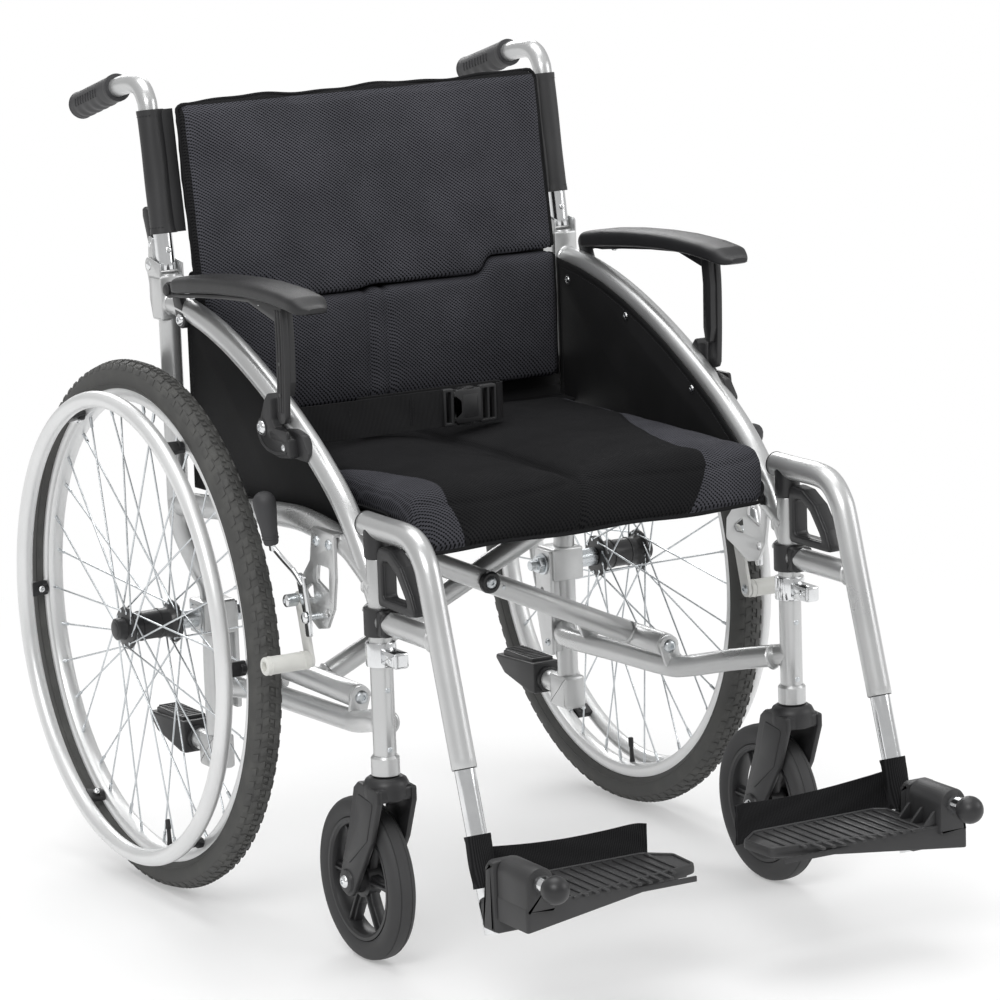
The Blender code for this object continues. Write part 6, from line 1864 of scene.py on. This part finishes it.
def tape(path, lean_at, name, half=None, folds=0.0008):
    """Belt webbing that stands on its edge along a path."""
    section = ribbon(half or BELT_HALF - 0.0006, 0.001, 14)
    rings = []
    for k, (p, f) in enumerate(zip(path, frames(path, (0, 0, 1)))):
        t = k / (len(path) - 1)
        upright = unit(np.array((0, lean_at(t), 1.0)))
        out = unit(np.cross(f[0], upright))
        wave = folds * np.sin(section[:, :1] * 120 + t * 16) * np.cos(t * 9)
        rings.append(p + section[:, :1] * upright + (section[:, 1:] + wave) * out)
    piece = Piece(name)
    piece.add(skin(rings), BELT)
    return piece, rings


def belts():
    """Lap belt: the near half with its side-release buckle, and the far half folded back behind it."""
    z = BELT_LOW + BELT_HALF + 0.0002
    path = smooth_path([(-0.218, -0.1965, z), (-0.19, -0.1985, z), (-0.15, -0.2, z), (-0.1, -0.2004, z),
                        (-0.06, -0.2, z), (-0.031, -0.2, z)], 8)
    piece, _ = tape(path, lambda t: 0.05 * math.sin(3 * t), "lap_belt_near")
    for x in (-0.07, -0.073, -0.15):
        row = [(x, -0.2014 - 0.0002, z + v) for v in np.linspace(-0.017, 0.017, 12)]
        piece.add(stitches(row, 0.004, 0.0026, 0.0004), THREAD)
    near = piece.done(None, "belt_right", slot="black_nylon", sharp=60)
    low, high = (Vector(p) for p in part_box("belt_left"))
    rear_y, front_y = high.y - SHIFT - 0.0016, low.y - SHIFT + 0.0015
    turn_x = high.x - 0.0016
    path = smooth_path([(0.0385, front_y, z), (turn_x - 0.004, front_y + 0.0005, z),
                        (turn_x, front_y + 0.0045, z), (turn_x, rear_y - 0.0045, z),
                        (turn_x - 0.005, rear_y, z), (turn_x - 0.03, rear_y - 0.0002, z),
                        (low.x + 0.08, rear_y - 0.0003, z), (low.x + 0.04, rear_y - 0.0003, z),
                        (low.x + 0.001, rear_y, z)], 7)
    piece, _ = tape(path, lambda t: 0.0, "lap_belt_far", folds=0.0004)
    far = piece.done(None, "belt_left", slot="black_nylon", sharp=60)
    return near, far


def buckle():
    """Side-release buckle: ladder bar, female body with its windows, male prongs and squeeze tabs."""
    low, high = (Vector(p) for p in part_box("buckle"))
    x0, x1 = low.x, high.x
    y0, y1 = low.y - SHIFT, high.y - SHIFT
    z0, z1 = low.z, high.z
    zm = (z0 + z1) / 2
    piece = Piece("side_release_buckle")
    body = fillet([(x0 + 0.016, z0 + 0.003), (x0 + 0.046, z0 + 0.003), (x0 + 0.048, z0 + 0.006),
                   (x0 + 0.048, z1 - 0.006), (x0 + 0.046, z1 - 0.003), (x0 + 0.016, z1 - 0.003),
                   (x0 + 0.012, z1 - 0.01), (x0 + 0.02, zm + 0.006), (x0 + 0.02, zm - 0.006),
                   (x0 + 0.012, z0 + 0.01)], 0.0018, 3)
    piece.add(prism(body, y0 + 0.0012, y1 - 0.0012, 0.0016, xz_y), BLACK)
    frame_out = fillet([(x0 + 0.046, z0 + 0.001), (x1, z0 + 0.001), (x1, z1 - 0.001),
                        (x0 + 0.046, z1 - 0.001)], 0.003, 4)
    slots = [fillet([(x0 + 0.05, z0 + 0.005), (x0 + 0.056, z0 + 0.005), (x0 + 0.056, z1 - 0.005),
                     (x0 + 0.05, z1 - 0.005)], 0.001, 2),
             fillet([(x0 + 0.059, z0 + 0.005), (x1 - 0.003, z0 + 0.005), (x1 - 0.003, z1 - 0.005),
                     (x0 + 0.059, z1 - 0.005)], 0.001, 2)]
    piece.add(pierced([frame_out, *slots], y0 + 0.0028, y1 - 0.003, 0.0009, xz_y), BLACK)
    ladder_out = fillet([(x0 - 0.0005, z0 + 0.001), (x0 + 0.013, z0 + 0.001), (x0 + 0.013, z1 - 0.001),
                         (x0 - 0.0005, z1 - 0.001)], 0.002, 3)
    slot = fillet([(x0 + 0.003, z0 + 0.005), (x0 + 0.009, z0 + 0.005), (x0 + 0.009, z1 - 0.005),
                   (x0 + 0.003, z1 - 0.005)], 0.001, 2)
    piece.add(pierced([ladder_out, slot], y0 + 0.0028, y1 - 0.003, 0.0009, xz_y), BLACK)
    for sign in (-1, 1):
        edge = zm + sign * (z1 - z0) * 0.5
        tab = fillet([(x0 + 0.013, edge - sign * 0.01), (x0 + 0.036, edge - sign * 0.0055),
                      (x0 + 0.04, edge - sign * 0.001), (x0 + 0.03, edge - sign * 0.0008),
                      (x0 + 0.018, edge - sign * 0.0035), (x0 + 0.012, edge - sign * 0.0065)], 0.0016, 3)
        piece.add(prism(tab, y0 + 0.0022, y1 - 0.0022, 0.0012, xz_y), BLACK)
        for k in range(4):
            x = x0 + 0.02 + k * 0.003
            piece.add(rod((x, y0 + 0.003, edge - sign * 0.0012), (x, y1 - 0.003, edge - sign * 0.0012),
                          0.0007, 8, 0.0002), BLACK)
    panel = fillet([(x0 + 0.023, zm - 0.013), (x0 + 0.043, zm - 0.013), (x0 + 0.043, zm + 0.013),
                    (x0 + 0.023, zm + 0.013)], 0.003, 4)
    piece.add(prism(panel, y0 + 0.0006, y0 + 0.002, 0.0005, xz_y), SATIN)
    return piece.done(None, "buckle", slot="black_plastic")


# ---------------------------------------------------------------- everything

BRACE_STEP = 0.014  # each bar of the cross lies this far in front of or behind the centre bolt


def hinged_strap(side):
    """Heel strap, built and with its transform baked into its points."""
    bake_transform(heel_strap(side))


for each in SIDES:
    for make in (side_frame, skirt_guard, tipping_pad, axle_bolt, rear_wheel, rear_tyre, handrim, caster_fork,
                 caster_wheel, caster_tyre, back_cane, push_grip, back_sleeve, back_latch, hanger, hanger_release,
                 footrest, footplate, hinged_strap, armrest_pad, armrest_support, armrest_clamp, brake_bracket,
                 brake_lever, brake_shoe):
        make(each)
brace("brace_rear", -1, "rear_brace", CENTRE.y - SHIFT + BRACE_STEP)
brace("brace_front", 1, "front_brace", CENTRE.y - SHIFT - BRACE_STEP)
brace_bolt()

cushion = seat_cushion()
trim = seat_trim().done(None, slot="black_nylon", sharp=60)
sling = seat_sling()
near_belt, far_belt = belts()
for soft in (cushion, trim, sling, near_belt, far_belt, buckle()):
    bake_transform(soft)
top_half, lumbar_half = back_cushions()
top_cord, lumbar_cord = back_trim()
flap = back_flap()
top_cord = top_cord.done("upper_back_right", slot="black_nylon", sharp=60)
lumbar_cord = lumbar_cord.done("frame_right", slot="black_nylon", sharp=60)
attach(top_half, "upper_back_right")
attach(lumbar_half, "frame_right")
for soft in (top_half, lumbar_half, top_cord, lumbar_cord, flap):
    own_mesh(soft)


# ---------------------------------------------------------------- floor, light and camera

def floor():
    """A pale floor that brightens into a white backdrop away from the chair."""
    mesh = bpy.data.meshes.new("floor_sweep")
    made = bmesh.new()
    bmesh.ops.create_grid(made, x_segments=2, y_segments=2, size=14.0)
    made.to_mesh(mesh)
    made.free()
    look = Look("floor_pale", (0.88, 0.88, 0.88), 0.6)
    far = look.node("ShaderNodeVectorMath", operation="LENGTH")
    look.put(far.inputs[0], look.place)
    glow = look.node("ShaderNodeEmission")
    glow.inputs["Color"].default_value = (1.0, 1.0, 1.0, 1.0)
    both = look.node("ShaderNodeMixShader")
    look.put(both.inputs[0], look.span(far.outputs["Value"], 0.2, 1.8, 0.3, 1.0))
    look.put(both.inputs[1], look.bsdf.outputs[0])
    look.put(both.inputs[2], glow.outputs[0])
    look.put(look.tree.nodes["Material Output"].inputs["Surface"], both.outputs[0])
    mesh.materials.append(look.material)
    ground = bpy.data.objects.new("floor_sweep", mesh)
    ground.location.z = -0.0005
    bpy.context.scene.collection.objects.link(ground)


def area_light(name, place, aim, size, power):
    light = bpy.data.lights.new(name, "AREA")
    light.shape, light.size, light.size_y = "RECTANGLE", size[0], size[1]
    light.energy = power
    lamp = bpy.data.objects.new(name, light)
    lamp.location = place
    lamp.rotation_mode = "QUATERNION"
    lamp.rotation_quaternion = (Vector(aim) - Vector(place)).to_track_quat("-Z", "Y")
    bpy.context.scene.collection.objects.link(lamp)


def studio():
    world = bpy.data.worlds.new("studio")
    world.use_nodes = True
    bpy.context.scene.world = world
    nodes, links = world.node_tree.nodes, world.node_tree.links
    place = nodes.new("ShaderNodeTexCoord")
    split = nodes.new("ShaderNodeSeparateXYZ")
    ramp = nodes.new("ShaderNodeValToRGB")
    links.new(place.outputs["Generated"], split.inputs[0])
    links.new(split.outputs[2], ramp.inputs[0])
    ramp.color_ramp.elements[0].position, ramp.color_ramp.elements[0].color = 0.4, (0.8, 0.8, 0.8, 1)
    ramp.color_ramp.elements[1].position, ramp.color_ramp.elements[1].color = 0.75, (1.0, 1.0, 1.0, 1)
    links.new(ramp.outputs[0], nodes["Background"].inputs[0])
    nodes["Background"].inputs[1].default_value = 0.66
    backdrop, shown = nodes.new("ShaderNodeBackground"), nodes.new("ShaderNodeMixShader")
    backdrop.inputs[0].default_value = (0.94, 0.94, 0.94, 1)
    links.new(nodes.new("ShaderNodeLightPath").outputs["Is Camera Ray"], shown.inputs[0])
    links.new(nodes["Background"].outputs[0], shown.inputs[1])
    links.new(backdrop.outputs[0], shown.inputs[2])
    links.new(shown.outputs[0], nodes["World Output"].inputs[0])
    area_light("key", (-2.4, -2.6, 3.2), (0, 0, 0.4), (2.0, 1.6), 74)
    area_light("fill", (3.2, -2.2, 2.0), (0, 0, 0.4), (2.2, 1.8), 30)
    area_light("top", (0.0, 0.4, 3.6), (0, 0, 0.4), (2.6, 2.6), 52)
    area_light("rim", (1.2, 3.4, 2.4), (0, 0, 0.5), (2.4, 1.4), 46)


def camera():
    """Long lens at the product view's angle: turned 29.6 degrees, looking 11.2 degrees down."""
    yaw, pitch, roll = (math.radians(a) for a in (-29.56, 11.2, -1.97))
    right = Vector((math.cos(yaw), math.sin(yaw), 0))
    ahead = Vector((-math.sin(yaw) * math.cos(pitch), math.cos(yaw) * math.cos(pitch), -math.sin(pitch)))
    up = right.cross(ahead)
    r = math.cos(roll) * right + math.sin(roll) * up
    u = -math.sin(roll) * right + math.cos(roll) * up
    data = bpy.data.cameras.new("view")
    data.lens, data.sensor_width = 163.98, 36.0
    data.clip_start, data.clip_end = 0.1, 60.0
    cam = bpy.data.objects.new("view", data)
    turned = Matrix((r, u, -ahead)).transposed().to_4x4()
    cam.matrix_world = Matrix.Translation((-2.468, SHIFT - 4.62, 1.442)) @ turned
    bpy.context.scene.collection.objects.link(cam)
    bpy.context.scene.camera = cam


floor()
studio()
camera()
bpy.context.scene.view_settings.view_transform = "Standard"

bpy.context.view_layer.update()
